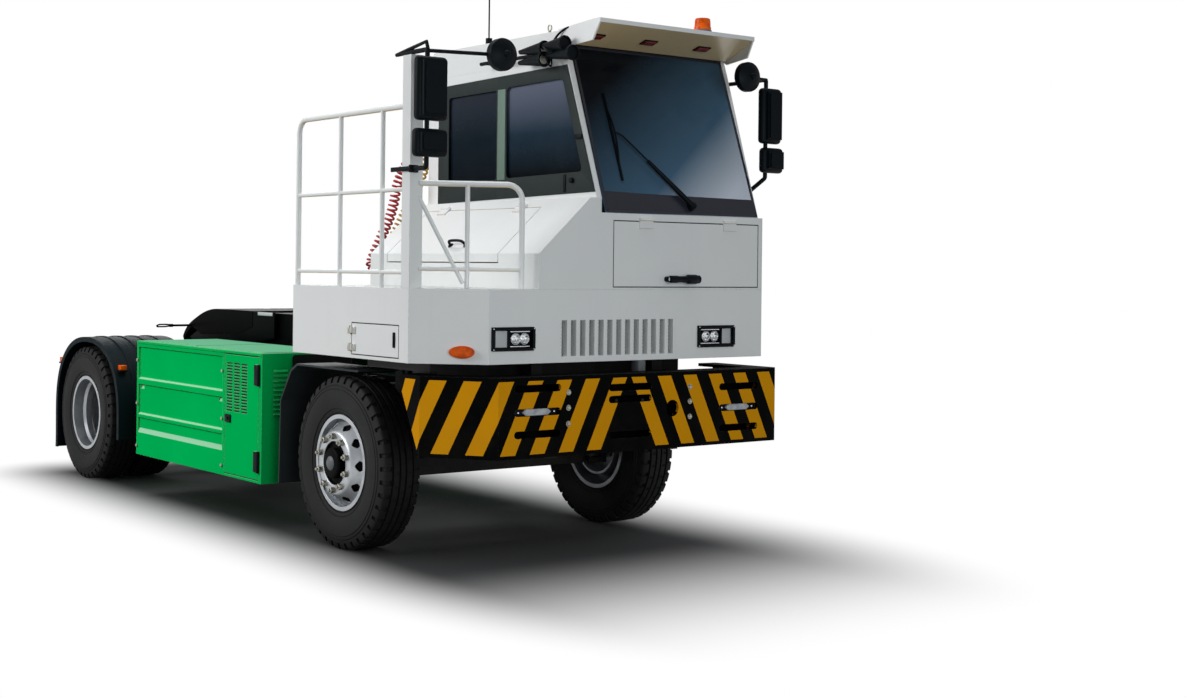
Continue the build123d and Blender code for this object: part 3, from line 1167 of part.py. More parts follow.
# Lamps
BEACON = (VISOR_FRONT_X - 140, BODY_HALF_W - 425)
beacon = rod((*BEACON, ROOF_Z + 10), (*BEACON, VISOR_TOP_Z + 22), BEACON_R + 6)
beacon += rod((*BEACON, VISOR_TOP_Z + 20), (*BEACON, VISOR_TOP_Z + 100), BEACON_R)
lamps = [fillet(beacon.edges().sort_by(Axis.Z)[-1], 14) - PARTS["visor"]]
visor_drop = (VISOR_TOP_Z - VISOR_LIP - SCREEN_TOP_Z + 10) / (VISOR_FRONT_X - SCREEN_TOP_X - 60)
marker_x = VISOR_FRONT_X - 95
for y in (0.0, 400.0, 800.0):
    z = VISOR_TOP_Z - VISOR_LIP - 95 * visor_drop
    lamps.append(block((marker_x - 22, marker_x + 22), (y + 110, y + 200), (z - 22, z)) - PARTS["visor"])
corner_dir = Vector(BODY_FRONT_X - CORNER_X, CORNER_Y + BODY_HALF_W, 0).normalized()
corner_mid = Vector((BODY_FRONT_X + CORNER_X) / 2, (CORNER_Y - BODY_HALF_W) / 2, 1270)
corner_plane = Plane(origin=corner_mid, x_dir=corner_dir, z_dir=(corner_dir.Y, -corner_dir.X, 0))
lamps.append(corner_plane * (Pos(0, 0, 12) * Box(125, 50, 24)))
for way in (-1, 1):
    lamp_x = (GUARD_MIDDLE_X + way * (GUARD_HALF - 145), GUARD_MIDDLE_X + way * (GUARD_HALF - 50))
    for side in (-1, 1):
        lamp_y = (side * 1160, side * 1220)
        cut_y = (min(lamp_y) - 5, max(lamp_y) + 5)
        guard_body = curved_sheet(guard_arch(-HINGE_GAP), guard_arch(60), cut_y)
        lamp = block(lamp_x, lamp_y, (925, 970)) - guard_body
        lamps.append(lamp.solids().sort_by(Axis.X)[-1 if way > 0 else 0])
PARTS["amber_lamps"] = group(*lamps)

front_lamps = []
for y, z in HEADLAMPS:
    front_lamps.append(block((BODY_FRONT_X - LAMP_DEPTH, BODY_FRONT_X + 4), y, z))
for y, rows in (SLOT_SETS[0], SLOT_SETS[2]):
    z = rows[1]
    lamp_x = (BUMPER_FRONT_X - BUMPER_WALL, BUMPER_FRONT_X - 4)
    lamp_half = (SLOT_W - SLOT_H) / 2 - 2
    front_lamps.append(block(lamp_x, (y - lamp_half, y + lamp_half), (z - SLOT_H / 2, z + SLOT_H / 2)))
PARTS["front_lamps"] = group(*front_lamps)

# Cab steps on the left, behind the front wheel
STEP_X = (BOX_X[1], BOX_X[1] + 135)
STEP_Y = (BOX_OUTER_Y - 260, BOX_OUTER_Y)
STEP_WALL = 12
steps = block((STEP_X[0], STEP_X[0] + STEP_WALL), STEP_Y, (420, BOX_Z[1]))
steps += block((STEP_X[1] - STEP_WALL, STEP_X[1]), STEP_Y, (420, BOX_Z[1]))
for z in (420, 680, 940, BOX_Z[1] - 30):
    steps += block(STEP_X, STEP_Y, (z, z + 30))
PARTS["cab_steps"] = steps


# Coiled air hoses from the cab's rear wall to the hood's rear end, as plain tubes of their coils' size
def hose(points, radius):
    return tube(points, radius, 65)


HOSE_R = 38
hose_x = CAB_REAR_X - HINGE_GAP
hose_y = CAB_RIGHT_Y + 80
RED_HOSE = [
    (hose_x, hose_y, SCREEN_Z + 585),
    (hose_x - 140, hose_y, SCREEN_Z + 585),
    (hose_x - 95, CAB_RIGHT_Y - 190, SCREEN_Z + 295),
    (hose_x - 85, CAB_RIGHT_Y - 232, SCREEN_Z + 45),
    (hose_x - 95, CAB_RIGHT_Y - 345, DECK_Z + 276),
    (hose_x - 130, CAB_RIGHT_Y - 405, DECK_Z + 101),
    (hose_x, CAB_RIGHT_Y - 405, DECK_Z + 101),
]
YELLOW_HOSE = [
    (hose_x, hose_y, SCREEN_Z + 465),
    (hose_x - 118, hose_y, SCREEN_Z + 465),
    (hose_x - 90, CAB_RIGHT_Y - 20, SCREEN_Z + 235),
    (hose_x - 95, CAB_RIGHT_Y - 205, DECK_Z + 356),
    (hose_x - 125, CAB_RIGHT_Y - 240, DECK_Z + 246),
    (hose_x, CAB_RIGHT_Y - 240, DECK_Z + 246),
]
PARTS["red_hose"] = hose(RED_HOSE, HOSE_R)
PARTS["yellow_hose"] = hose(YELLOW_HOSE, HOSE_R)

os.makedirs("parts", exist_ok=True)
for name, shape in PARTS.items():
    export_step(shape, f"parts/{name}.step")
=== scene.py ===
import json
import math
import bmesh
import bpy
from mathutils import Matrix, Vector


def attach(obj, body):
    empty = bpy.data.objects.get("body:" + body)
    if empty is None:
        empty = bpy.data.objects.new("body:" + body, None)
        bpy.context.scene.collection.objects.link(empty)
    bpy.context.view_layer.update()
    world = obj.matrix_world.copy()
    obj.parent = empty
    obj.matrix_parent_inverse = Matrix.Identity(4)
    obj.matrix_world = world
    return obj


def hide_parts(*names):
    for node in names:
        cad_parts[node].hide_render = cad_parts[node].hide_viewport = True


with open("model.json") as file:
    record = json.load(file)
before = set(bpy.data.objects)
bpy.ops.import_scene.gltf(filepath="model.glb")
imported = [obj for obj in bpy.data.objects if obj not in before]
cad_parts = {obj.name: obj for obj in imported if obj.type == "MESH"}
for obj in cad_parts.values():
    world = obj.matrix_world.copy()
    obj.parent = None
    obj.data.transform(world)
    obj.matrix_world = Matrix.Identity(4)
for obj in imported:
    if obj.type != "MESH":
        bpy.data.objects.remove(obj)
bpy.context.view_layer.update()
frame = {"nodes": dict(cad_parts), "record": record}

# Electric terminal tractor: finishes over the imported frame, with hoses, tyres, glazing trim, lamps,
# hatch and door fittings, mirrors, hubs and seat. Metres. X forward, Y to the vehicle's left, Z up.

# Sizes shared by several pieces
FRONT_AXLE_X = 1.655
REAR_AXLE_X = -2.345
AXLE_Z = 0.542
FRONT_TYRE_Y = 1.02
REAR_INNER_Y = 0.75
REAR_OUTER_Y = 1.09
BODY_FRONT_X = 2.914
BODY_SIDE_Y = 1.25
CAB_RIGHT_Y = -0.1
SCREEN_Z = 2.105
SCREEN_TOP = (2.546, 3.155)
BUMPER_FRONT_X = 3.09
BUMPER_BEND_Y = -0.965
BUMPER_WING_X = 2.71
BOX_SIDE_Y = -1.22
BOX_INNER_Y = 0.54
BOX_FRONT_X = 0.749
SKIN = 0.0003  # keeps a thin piece off the face that it lies on
SIDE_FACE_Y = BODY_SIDE_Y + SKIN
CAB_REAR_X = 1.035 - SKIN
TIP = 0.0002  # radius of a turned piece at its axis
UP = Vector((0, 0, 1))
FORWARD = (1, 0, 0)
LEFT = (0, 1, 0)
ORIGIN = (0, 0, 0)


# Modelling helpers
def linked(name, data):
    """A new object in the scene."""
    thing = bpy.data.objects.new(name, data)
    bpy.context.scene.collection.objects.link(thing)
    return thing


def discard(*pieces):
    for piece in pieces:
        bpy.data.objects.remove(piece)


def activate(*pieces):
    """Selects only some objects and makes the first one active."""
    bpy.ops.object.select_all(action="DESELECT")
    for piece in pieces:
        piece.select_set(True)
    bpy.context.view_layer.objects.active = pieces[0]


def editing():
    bpy.ops.object.mode_set(mode="EDIT")


def leave_editing():
    bpy.ops.object.mode_set(mode="OBJECT")


def set_place():
    bpy.ops.object.transform_apply(location=True, rotation=True, scale=True)


def pick_all():
    bpy.ops.mesh.select_all(action="SELECT")


def pick_none(kind):
    """In edit mode, clears the selection and sets its kind: VERT, EDGE or FACE."""
    bpy.ops.mesh.select_mode(type=kind)
    bpy.ops.mesh.select_all(action="DESELECT")


def pick(kind, wanted):
    """In edit mode, selects only the vertices, edges or faces that pass a test."""
    pick_none(kind)
    data = bpy.context.object.data
    mesh = bmesh.from_edit_mesh(data)
    for part in {"VERT": mesh.verts, "EDGE": mesh.edges, "FACE": mesh.faces}[kind]:
        part.select_set(bool(wanted(part)))
    bmesh.update_edit_mesh(data)


def push_out(shift):
    """In edit mode, extrudes what is selected."""
    bpy.ops.mesh.extrude_region_move(TRANSFORM_OT_translate={"value": shift})


def sink(depth):
    """In edit mode, extrudes the selected faces inward."""
    bpy.ops.mesh.extrude_region_shrink_fatten(TRANSFORM_OT_shrink_fatten={"value": -depth})


def face_outward():
    """In edit mode, turns every face outward."""
    pick_all()
    bpy.ops.mesh.normals_make_consistent(inside=False)


def soften(width, rounds=2, sharp=35):
    """In edit mode, bevels the sharp edges."""
    pick_none("EDGE")
    bpy.ops.mesh.edges_select_sharp(sharpness=math.radians(sharp))
    bpy.ops.mesh.bevel(offset=width, segments=rounds, affect="EDGES", clamp_overlap=True)


def shaped(piece, kind, **settings):
    """Adds a modifier to the active piece and applies it."""
    modifier = piece.modifiers.new(kind, kind)
    for name, value in settings.items():
        setattr(modifier, name, value)
    bpy.ops.object.modifier_apply(modifier=modifier.name)


def slab(low, high, soft=0.004, rounds=2):
    """A box between two corners, in any order, with rounded edges."""
    middle = [(a + b) / 2 for a, b in zip(low, high)]
    bpy.ops.mesh.primitive_cube_add(size=1, location=middle)
    piece = bpy.context.object
    piece.scale = [abs(b - a) for a, b in zip(low, high)]
    set_place()
    editing()
    soften(soft, rounds)
    leave_editing()
    return piece


def peg(start, end, radius, soft=0.002, sides=24, far_radius=None):
    """A round bar or cone between two points with rounded rims."""
    start = Vector(start)
    run = Vector(end) - start
    bpy.ops.mesh.primitive_cone_add(
        vertices=sides,
        radius1=radius,
        radius2=radius if far_radius is None else far_radius,
        depth=run.length,
        location=start + run / 2,
        rotation=UP.rotation_difference(run).to_euler(),
    )
    piece = bpy.context.object
    set_place()
    editing()
    soften(soft, 2, 50)
    leave_editing()
    return piece


def chain(points):
    """Enters edit mode with a line of vertices through some points."""
    points = [Vector(point) for point in points]
    bpy.ops.mesh.primitive_plane_add(size=1, location=points[0])
    piece = bpy.context.object
    set_place()
    editing()
    pick_all()
    bpy.ops.mesh.merge(type="CENTER")
    bpy.ops.mesh.select_mode(type="VERT")
    pick_all()
    for before, after in zip(points, points[1:]):
        push_out(after - before)
    pick_all()
    return piece


def outline(points, corner=0.0):
    """Enters edit mode with one flat face through some points, its corners rounded."""
    piece = chain(points)
    bpy.ops.mesh.edge_face_add()
    if corner:
        bpy.ops.mesh.bevel(offset=corner, segments=4, affect="VERTICES")
    bpy.ops.mesh.select_mode(type="FACE")
    pick_all()
    return piece


def thicken(push, soft=0.001):
    """In edit mode, gives a flat sheet its thickness and rounded rims, and leaves edit mode."""
    pick_all()
    push_out(push)
    face_outward()
    if soft:
        soften(soft, 2, 50)
    leave_editing()


def plate(points, push, corner=0.0, soft=0.001):
    """A flat plate through some points."""
    piece = outline(points, corner)
    thicken(push, soft)
    return piece


def ring(points, width, push, corner=0.0, soft=0.001):
    """A flat frame of even width inside some points."""
    piece = outline(points, corner)
    bpy.ops.mesh.inset(thickness=width)
    bpy.ops.mesh.delete(type="FACE")
    thicken(push, soft)
    return piece


def surround(outer, opening, corner, push):
    """A flat sheet between an outer line and a rounded opening."""
    lines = []
    for points, rounding in ((opening, corner), (outer, 0.0)):
        lines.insert(0, outline(points, rounding))
        bpy.ops.mesh.delete(type="ONLY_FACE")
        leave_editing()
    piece = joined(lines)
    editing()
    bpy.ops.mesh.select_mode(type="EDGE")
    pick_all()
    bpy.ops.mesh.bridge_edge_loops()
    thicken(push)
    return piece


def front_rect(x, y, z):
    """Corners of a rectangle that faces forward."""
    return [(x, y[0], z[0]), (x, y[1], z[0]), (x, y[1], z[1]), (x, y[0], z[1])]


def side_rect(y, x, z):
    """Corners of a rectangle that faces sideways."""
    return [(x[0], y, z[0]), (x[1], y, z[0]), (x[1], y, z[1]), (x[0], y, z[1])]


def turned(profile, centre, axis, steps):
    """A profile of (radius, distance along the axis) points spun about an axis."""
    axis = Vector(axis).normalized()
    across = axis.orthogonal().normalized()
    centre = Vector(centre)
    piece = chain([centre + across * r + axis * d for r, d in profile])
    bpy.ops.mesh.spin(steps=steps, angle=math.tau, center=centre, axis=axis, use_auto_merge=True)
    pick_all()
    bpy.ops.mesh.remove_doubles(threshold=0.00005)
    face_outward()
    leave_editing()
    return piece


def tube(name, points, steps, radius=0.0, rounds=0, smooth=True):
    """A curve through some points, a round tube where it has a radius."""
    data = bpy.data.curves.new(name, "CURVE")
    data.dimensions = "3D"
    line = data.splines.new("NURBS" if smooth else "POLY")
    line.points.add(len(points) - 1)
    for point, place in zip(line.points, points):
        point.co = (*place, 1)
    if smooth:
        line.order_u = 3
        line.use_endpoint_u = True
        line.resolution_u = steps
    data.bevel_depth = radius
    data.bevel_resolution = rounds
    data.use_fill_caps = True
    return linked(name, data)


def wire(points, radius, smooth=True):
    """A bent round wire through a line of points, made a mesh."""
    activate(tube("wire", points, 6, radius, 3, smooth))
    bpy.ops.object.convert(target="MESH")
    return bpy.context.object


def copied(piece, shift=(0, 0, 0)):
    """A copy with its own mesh, moved by a shift."""
    twin = piece.copy()
    twin.data = piece.data.copy()
    bpy.context.scene.collection.objects.link(twin)
    activate(twin)
    twin.location = shift
    set_place()
    return twin


def swung(piece, turn):
    """A copy with its own mesh, turned about the Y axis by some degrees."""
    twin = copied(piece)
    twin.rotation_euler = (0, math.radians(turn), 0)
    set_place()
    return twin


def mirrored(piece):
    """A copy with its own mesh on the vehicle's other side."""
    twin = copied(piece)
    twin.scale = (1, -1, 1)
    set_place()
    editing()
    face_outward()
    leave_editing()
    return twin


def joined(pieces):
    activate(*pieces)
    if len(pieces) > 1:
        bpy.ops.object.join()
    return bpy.context.object


def fit(pieces, name, finish, body="chassis", stands_for=()):
    """Joins pieces, names the result, gives it its finish and sets it on its body."""
    piece = joined(pieces)
    piece.name = name
    piece.data.name = name
    piece.data.materials.clear()
    piece.data.materials.append(finish)
    if piece.type == "MESH":
        bpy.ops.object.shade_smooth_by_angle(angle=math.radians(38))
    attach(piece, body)
    if stands_for:
        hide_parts(*stands_for)
    return piece


# Finishes
def shader_maths(operation, swapped=False):
    """An operator of Feed that adds a Math node."""

    def apply(self, other=0.0):
        return self.math(operation, *((other, self) if swapped else (self, other)))

    return apply


class Feed:
    """A shader socket. Arithmetic on it adds Math nodes, and node() adds any other node."""

    __add__ = shader_maths("ADD")
    __sub__ = shader_maths("SUBTRACT")
    __rsub__ = shader_maths("SUBTRACT", True)
    __mul__ = shader_maths("MULTIPLY")
    __truediv__ = shader_maths("DIVIDE")
    __lt__ = shader_maths("LESS_THAN")
    __gt__ = shader_maths("GREATER_THAN")
    __abs__ = shader_maths("ABSOLUTE")

    def __init__(self, tree, socket):
        self.tree = tree
        self.socket = socket

    def node(self, kind, settings=None, sockets=None, out=0):
        made = self.tree.nodes.new(kind)
        for name, value in (settings or {}).items():
            setattr(made, name, value)
        for key, value in (sockets or {}).items():
            if isinstance(value, Feed):
                self.tree.links.new(value.socket, made.inputs[key])
            else:
                made.inputs[key].default_value = value
        return Feed(self.tree, made.outputs[out])

    def math(self, operation, first, second=0.0):
        return self.node("ShaderNodeMath", {"operation": operation}, {0: first, 1: second})

    def clipped(self):
        return self.node("ShaderNodeClamp", None, {0: self})


def rgb(hexed):
    """A colour written as six hex digits, as linear values."""
    parts = [int(hexed[i : i + 2], 16) / 255 for i in (0, 2, 4)]
    linear = [p / 12.92 if p <= 0.04045 else ((p + 0.055) / 1.055) ** 2.4 for p in parts]
    return (*linear, 1)


def begin(name):
    finish = bpy.data.materials.new(name)
    finish.use_nodes = True
    tree = finish.node_tree
    tree.nodes.clear()
    output = tree.nodes.new("ShaderNodeOutputMaterial")
    shader = tree.nodes.new("ShaderNodeBsdfPrincipled")
    tree.links.new(shader.outputs[0], output.inputs[0])
    coords = tree.nodes.new("ShaderNodeTexCoord")
    return finish, shader, Feed(tree, coords.outputs["Object"])


def drive(shader, **feeds):
    """Links feeds to the shader's sockets, or sets plain values on them."""
    for name, value in feeds.items():
        socket = shader.inputs[name.replace("_", " ")]
        if isinstance(value, Feed):
            value.tree.links.new(value.socket, socket)
        else:
            socket.default_value = value


def cloud(at, scale, detail=3.0, roughness=0.55):
    sockets = {"Vector": at, "Scale": scale, "Detail": detail, "Roughness": roughness}
    return at.node("ShaderNodeTexNoise", None, sockets)


def stretched(at, scale):
    """Coordinates scaled along each axis, for streaks."""
    return at.node("ShaderNodeMapping", None, {"Vector": at, "Scale": scale})


def axis_of(at, index):
    return at.node("ShaderNodeSeparateXYZ", None, {0: at}, index)


def facing(at):
    """The direction of the face."""
    return at.node("ShaderNodeNewGeometry", None, None, "Normal")


def between(factor, first, second):
    """Mixes two colours."""
    return factor.node("ShaderNodeMix", {"data_type": "RGBA"}, {0: factor, 6: first, 7: second}, 2)


def spread(feed, low, high):
    """Stretches a band of values to 0 to 1."""
    return feed.node("ShaderNodeMapRange", None, {"Value": feed, "From Min": low, "From Max": high})


def rounded_edges(at, radius):
    return at.node("ShaderNodeBevel", {"samples": 4}, {"Radius": radius})


def edge_mask(at, soft):
    """How far the softened normal leans from the face, which is high along edges."""
    sockets = {0: facing(at), 1: soft}
    lean = at.node("ShaderNodeVectorMath", {"operation": "DOT_PRODUCT"}, sockets, "Value")
    return spread(1 - lean, 0.02, 0.16)


def bumped(height, depth, strength, normal=None):
    sockets = {"Height": height, "Distance": depth, "Strength": strength}
    if normal is not None:
        sockets["Normal"] = normal
    return height.node("ShaderNodeBump", None, sockets)


def paint(
    name,
    colour,
    shade,
    wear_and_highlight,
    gloss=0.3,
    dust=0.5,
    edge=0.004,
    coat=0.25,
    shine=0.5,
    rim=0.0,
    under=0.0,
    over=0.0,
):
    """Sprayed paint: slow tone change, orange peel, rain streaks, road dust low down and rubbed edges.
    Rim paints a highlight along every edge, and under paints warm reflected light on the faces that look
    down.
    Over is for the battery boxes: a painted highlight pales the faces that look up, and painted shade
    blackens the inner sides."""
    finish, shader, at = begin(name)
    soft = rounded_edges(at, edge)
    tone = between(spread(cloud(at, 1.3, 4.0), 0.3, 0.7), rgb(colour), rgb(shade))
    streak = spread(cloud(stretched(at, (14.0, 14.0, 0.6)), 1.0, 3.0), 0.55, 0.8)
    low = spread(axis_of(at, 2), 1.5, 0.35)
    film = (low * spread(cloud(at, 3.1, 6.0, 0.65), 0.35, 0.75) + streak * 0.16) * dust
    dust_and_painted_light = between(film.clipped(), tone, rgb("8d8577"))
    rise = axis_of(facing(at), 2)
    # Painted warm reflected light: beige on the faces that look down, as much as under asks
    dust_and_painted_light = between(spread(rise, -0.5, -0.9) * under, dust_and_painted_light, rgb("ecd09a"))
    # Painted highlight: pale green on the upward slopes and tops of the battery boxes, as much as over asks
    top_dust_and_painted_highlight = between(spread(rise, 0.85, 0.97), rgb("a8dab6"), rgb("6eaa89"))
    dust_and_painted_light = between(spread(rise, 0.12, 0.34) * (axis_of(at, 0) < BOX_FRONT_X + 0.0002) * over, dust_and_painted_light, top_dust_and_painted_highlight)
    # Painted shade: the battery boxes' inner sides, which face the frame, are blackened
    dust_and_painted_light = between((abs(axis_of(at, 1)) < BOX_INNER_Y + 0.0015) * over, dust_and_painted_light, rgb("050607"))
    # Edge colour: rubbed wear at random along the edges, and with rim a painted highlight along every edge
    rubbed_and_highlit_edges = edge_mask(at, soft) * (spread(cloud(at, 55.0, 3.0), 0.5, 0.62) * 0.55 + rim)
    drive(
        shader,
        Base_Color=between(rubbed_and_highlit_edges.clipped(), dust_and_painted_light, rgb(wear_and_highlight)),
        Roughness=(film * 0.45 + cloud(at, 24.0, 2.0) * 0.1 + (gloss - 0.05)).clipped(),
        Coat_Weight=coat,
        Coat_Roughness=0.12,
        Specular_IOR_Level=shine,
        Normal=bumped(cloud(at, 420.0, 1.0), 0.00035, 0.25, soft),
    )
    return finish


def moulded(name, colour, shade, gloss=0.5, grain=600.0, depth=0.0006, dust=0.1, shine=0.22):
    """Moulded plastic with a fine leather-like grain and dust on its upper faces."""
    finish, shader, at = begin(name)
    soft = rounded_edges(at, 0.004)
    tone = between(cloud(at, 4.0, 4.0), rgb(colour), rgb(shade))
    top_dust_and_painted_highlight = spread(axis_of(facing(at), 2), 0.3, 1.0) * spread(cloud(at, 7.0, 5.0), 0.35, 0.7) * dust
    pits = at.node("ShaderNodeTexVoronoi", None, {"Vector": at, "Scale": grain})
    drive(
        shader,
        Base_Color=between(top_dust_and_painted_highlight.clipped(), tone, rgb("5b5a57")),
        Roughness=(cloud(at, 30.0, 3.0) * 0.18 + top_dust_and_painted_highlight * 0.3 + (gloss - 0.08)).clipped(),
        Specular_IOR_Level=shine,
        Normal=bumped(pits, depth, 0.35, soft),
    )
    return finish


def bare_metal(name, colour, shade, gloss, brushed=(40.0, 900.0, 40.0), grime=0.4):
    """Bare or silvered metal with fine brush lines and brown film in the hollows."""
    finish, shader, at = begin(name)
    soft = rounded_edges(at, 0.003)
    lines = cloud(stretched(at, brushed), 1.0, 2.0)
    stain = spread(cloud(at, 6.0, 6.0, 0.7), 0.5, 0.8) * grime
    drive(
        shader,
        Base_Color=between(stain.clipped(), between(lines, rgb(colour), rgb(shade)), rgb("4a4035")),
        Metallic=(1 - stain * 0.6).clipped(),
        Roughness=(lines * 0.14 + stain * 0.4 + gloss).clipped(),
        Normal=bumped(lines, 0.0003, 0.2, soft),
    )
    return finish


def rubber(name):
    """Tyre rubber: grey with dust in its hollows and blacker where it is scuffed."""
    finish, shader, at = begin(name)
    speck = cloud(at, 90.0, 4.0, 0.7)
    smear = spread(cloud(at, 5.0, 6.0, 0.65), 0.4, 0.72)
    fine = cloud(at, 700.0, 2.0)
    drive(
        shader,
        Base_Color=between(smear * 0.25, between(speck, rgb("08090b"), rgb("121315")), rgb("2c2b28")),
        Roughness=(speck * 0.2 + smear * 0.12 + 0.55).clipped(),
        Specular_IOR_Level=0.25,
        Normal=bumped(fine + speck, 0.0008, 0.4),
    )
    return finish


def chevron_paint(name):
    """Black bumper paint with amber chevrons that lean out from the middle and follow the bends."""
    finish, shader, at = begin(name)
    x, y, z = (axis_of(at, index) for index in range(3))
    soft = rounded_edges(at, 0.006)
    around = abs(y + 0.0135) + at.math("MAXIMUM", BUMPER_BEND_Y - y, 0.0) * 0.686
    around = around + at.math("MAXIMUM", BUMPER_WING_X - x, 0.0) * (y < 0.0)
    around = around + at.math("MAXIMUM", BUMPER_FRONT_X - 0.045 - x, 0.0) * (y > 1.2)
    phase = (around - (1.13 - z) * 0.47 - 0.0155) / 0.2075
    band = (at.math("FRACT", phase) < 0.51) * (phase > 0.0) * (z < 1.128) * (z > 0.712)
    flat_faces = abs(axis_of(facing(at), 2)) < 0.5
    inside = (x < 2.975) * (y > -0.91) * (y < 1.14)
    amber = between(cloud(at, 3.0, 4.0), rgb("e7a010"), rgb("da930f"))
    black = between(cloud(at, 3.0, 4.0), rgb("030404"), rgb("070808"))
    striped = between(band * flat_faces * (1 - inside), black, amber)
    film = spread(cloud(at, 4.0, 6.0, 0.65), 0.45, 0.8) * spread(z, 1.2, 0.65)
    rubbed_and_highlit_edges = edge_mask(at, soft) * spread(cloud(at, 60.0, 3.0), 0.45, 0.6)
    dust_and_painted_light = between((film * 0.07).clipped(), striped, rgb("6d665b"))
    drive(
        shader,
        Base_Color=between(rubbed_and_highlit_edges.clipped() * 0.45, dust_and_painted_light, rgb("54524e")),
        Roughness=(film * 0.3 + cloud(at, 20.0) * 0.12 + 0.36).clipped(),
        Specular_IOR_Level=0.015,
        Normal=bumped(cloud(at, 380.0, 1.0), 0.0004, 0.25, soft),
    )
    return finish


def tinted(name, top, middle, low, levels, clear, sweep=0.0, dim=0.0):
    """Window glass toned from its top to its foot with a film of dust; the tones are painted reflection, and
    the windscreen's dark top also stands for a tint band.
    Sweep tilts the tones across the cab, and dim darkens the panes behind the front one."""
    finish, shader, at = begin(name)
    film = spread(cloud(at, 2.2, 6.0, 0.7), 0.42, 0.8)
    # Painted reflection: the glass's tones from top to foot, tilted across the cab by sweep
    height = axis_of(at, 2) - axis_of(at, 1) * sweep
    upper = spread(height, levels[1], levels[2])
    lower = spread(height, levels[1], levels[0])
    tone = between(lower, between(upper, rgb(middle), rgb(top)), rgb(low))
    tone = between(spread(axis_of(at, 0), 1.92, 1.86) * dim, tone, rgb("0c151c"))
    drive(
        shader,
        Base_Color=between(film * 0.05, tone, rgb("6b737d")),
        Roughness=(film * 0.1 + 0.05).clipped(),
        Alpha=(film * 0.05 + (1 - clear)).clipped(),
        Specular_IOR_Level=0.05,
    )
    return finish


def lens(name, colour, deep, glow, pitch, coat=0.6, shine=0.5):
    """A moulded lamp lens with its ribs."""
    finish, shader, at = begin(name)
    ribs = at.node("ShaderNodeTexWave", {"bands_direction": "DIAGONAL"}, {"Vector": at, "Scale": pitch})
    mottle = spread(cloud(at, 22.0, 2.0), 0.4, 0.62)
    drive(
        shader,
        Base_Color=between((ribs * 0.4 + mottle * 0.6).clipped(), rgb(colour), rgb(deep)),
        Roughness=(cloud(at, 60.0) * 0.12 + 0.1).clipped(),
        Emission_Color=rgb(colour),
        Emission_Strength=glow,
        Coat_Weight=coat,
        Specular_IOR_Level=shine,
        Normal=bumped(ribs, 0.001, 0.5),
    )
    return finish


def woven(name):
    """Seat cloth with a crossed weave and patches of wear."""
    finish, shader, at = begin(name)
    thread = {"Vector": at, "Scale": 160.0, "Distortion": 0.6}
    warp, weft = (at.node("ShaderNodeTexWave", {"bands_direction": way}, thread) for way in "XY")
    weave = at.math("MAXIMUM", warp, weft)
    patch = cloud(at, 6.0, 4.0)
    drive(
        shader,
        Base_Color=between(weave * 0.6 + patch * 0.3, rgb("17191d"), rgb("34373d")),
        Roughness=(0.95 - patch * 0.15).clipped(),
        Sheen_Weight=0.3,
        Normal=bumped(weave, 0.001, 0.5),
    )
    return finish


# Under gives the white paint's downward faces painted warm reflected light, beige
white_paint = paint("white_body_paint", "eceeed", "e6e8e8", "9fa1a1", dust=0.14, under=0.95)
# The green's light edge colour 9adfb4 with rim is a painted highlight along every edge; over paints pale
# highlights on upward faces and painted shade on the inner sides
GREEN_LOOK = {"gloss": 0.5, "dust": 0.0, "edge": 0.007, "coat": 0.0, "shine": 0.0, "rim": 0.5, "over": 0.9}
green_paint = paint("green_box_paint", "00c25f", "00b959", "9adfb4", **GREEN_LOOK)
deck_paint = paint("deck_grey_paint", "c9ccca", "bcc0bf", "77797a", gloss=0.5)
FRAME_LOOK = {"gloss": 0.45, "dust": 0.16, "edge": 0.005, "coat": 0.0, "shine": 0.16}
frame_paint = paint("chassis_black_paint", "08090b", "0e0f11", "2c2b29", **FRAME_LOOK)
bumper_paint = chevron_paint("bumper_chevron_paint")
black_plastic = moulded("black_moulding", "040a0f", "091015", gloss=0.45, dust=0.05, shine=0.08)
guard_plastic = moulded("mudguard_plastic", "0b161a", "101c20", dust=0.04, shine=0.05)
# Painted light: the front mudguards get a lighter copy of the mudguard plastic, brightening them in their
# shade
front_guard_lightened_plastic = moulded("front_guard_lightened_plastic", "2a3032", "33393b", gloss=0.55, dust=0.04, shine=0.15)
gasket_rubber = moulded("gasket_rubber", "08090a", "0e0f10", gloss=0.6, grain=900.0, shine=0.15)
frame_grey = moulded("window_frame_grey", "2a3231", "252c2b", gloss=0.55, grain=800.0, shine=0.12)
screen_black = moulded(
    "screen_border_black", "24262f", "2d2e39", gloss=0.22, grain=900.0, depth=0.0001, shine=0.4
)
stop_grey = moulded("stop_grey", "6a6d70", "5c5f62", gloss=0.45, grain=500.0, dust=0.2, shine=0.3)
hub_black = moulded("hub_black", "060708", "0c0d0e", gloss=0.45, grain=300.0, shine=0.03)
divider_green = moulded("window_divider_green", "6d8377", "5f756a", grain=800.0)
lamp_shell = moulded("pale_lamp_shell", "c9cccd", "b6babc", gloss=0.4, grain=240.0, depth=0.0012, shine=0.4)
tyre_rubber = rubber("tyre_rubber")
wheel_silver = bare_metal("wheel_silver", "c4c7ca", "a9adb1", 0.36, (30.0, 30.0, 30.0), 0.35)
rod_chrome = bare_metal("rod_chrome", "d6d8da", "c3c6c9", 0.1, grime=0.15)
bolt_zinc = bare_metal("bolt_zinc", "b7b5aa", "8f8d84", 0.35)
mirror_silver = bare_metal("mirror_silver", "dfe3e6", "d4d8db", 0.03, (2.0, 2.0, 2.0), 0.1)
# Painted reflection: the windscreen near black at the top and pale bluish grey at its foot
screen_glass = tinted("screen_glass", "0b0f14", "4a6a83", "d2dbe7", (1.48, 1.95, 2.8), 0.08, 0.75)
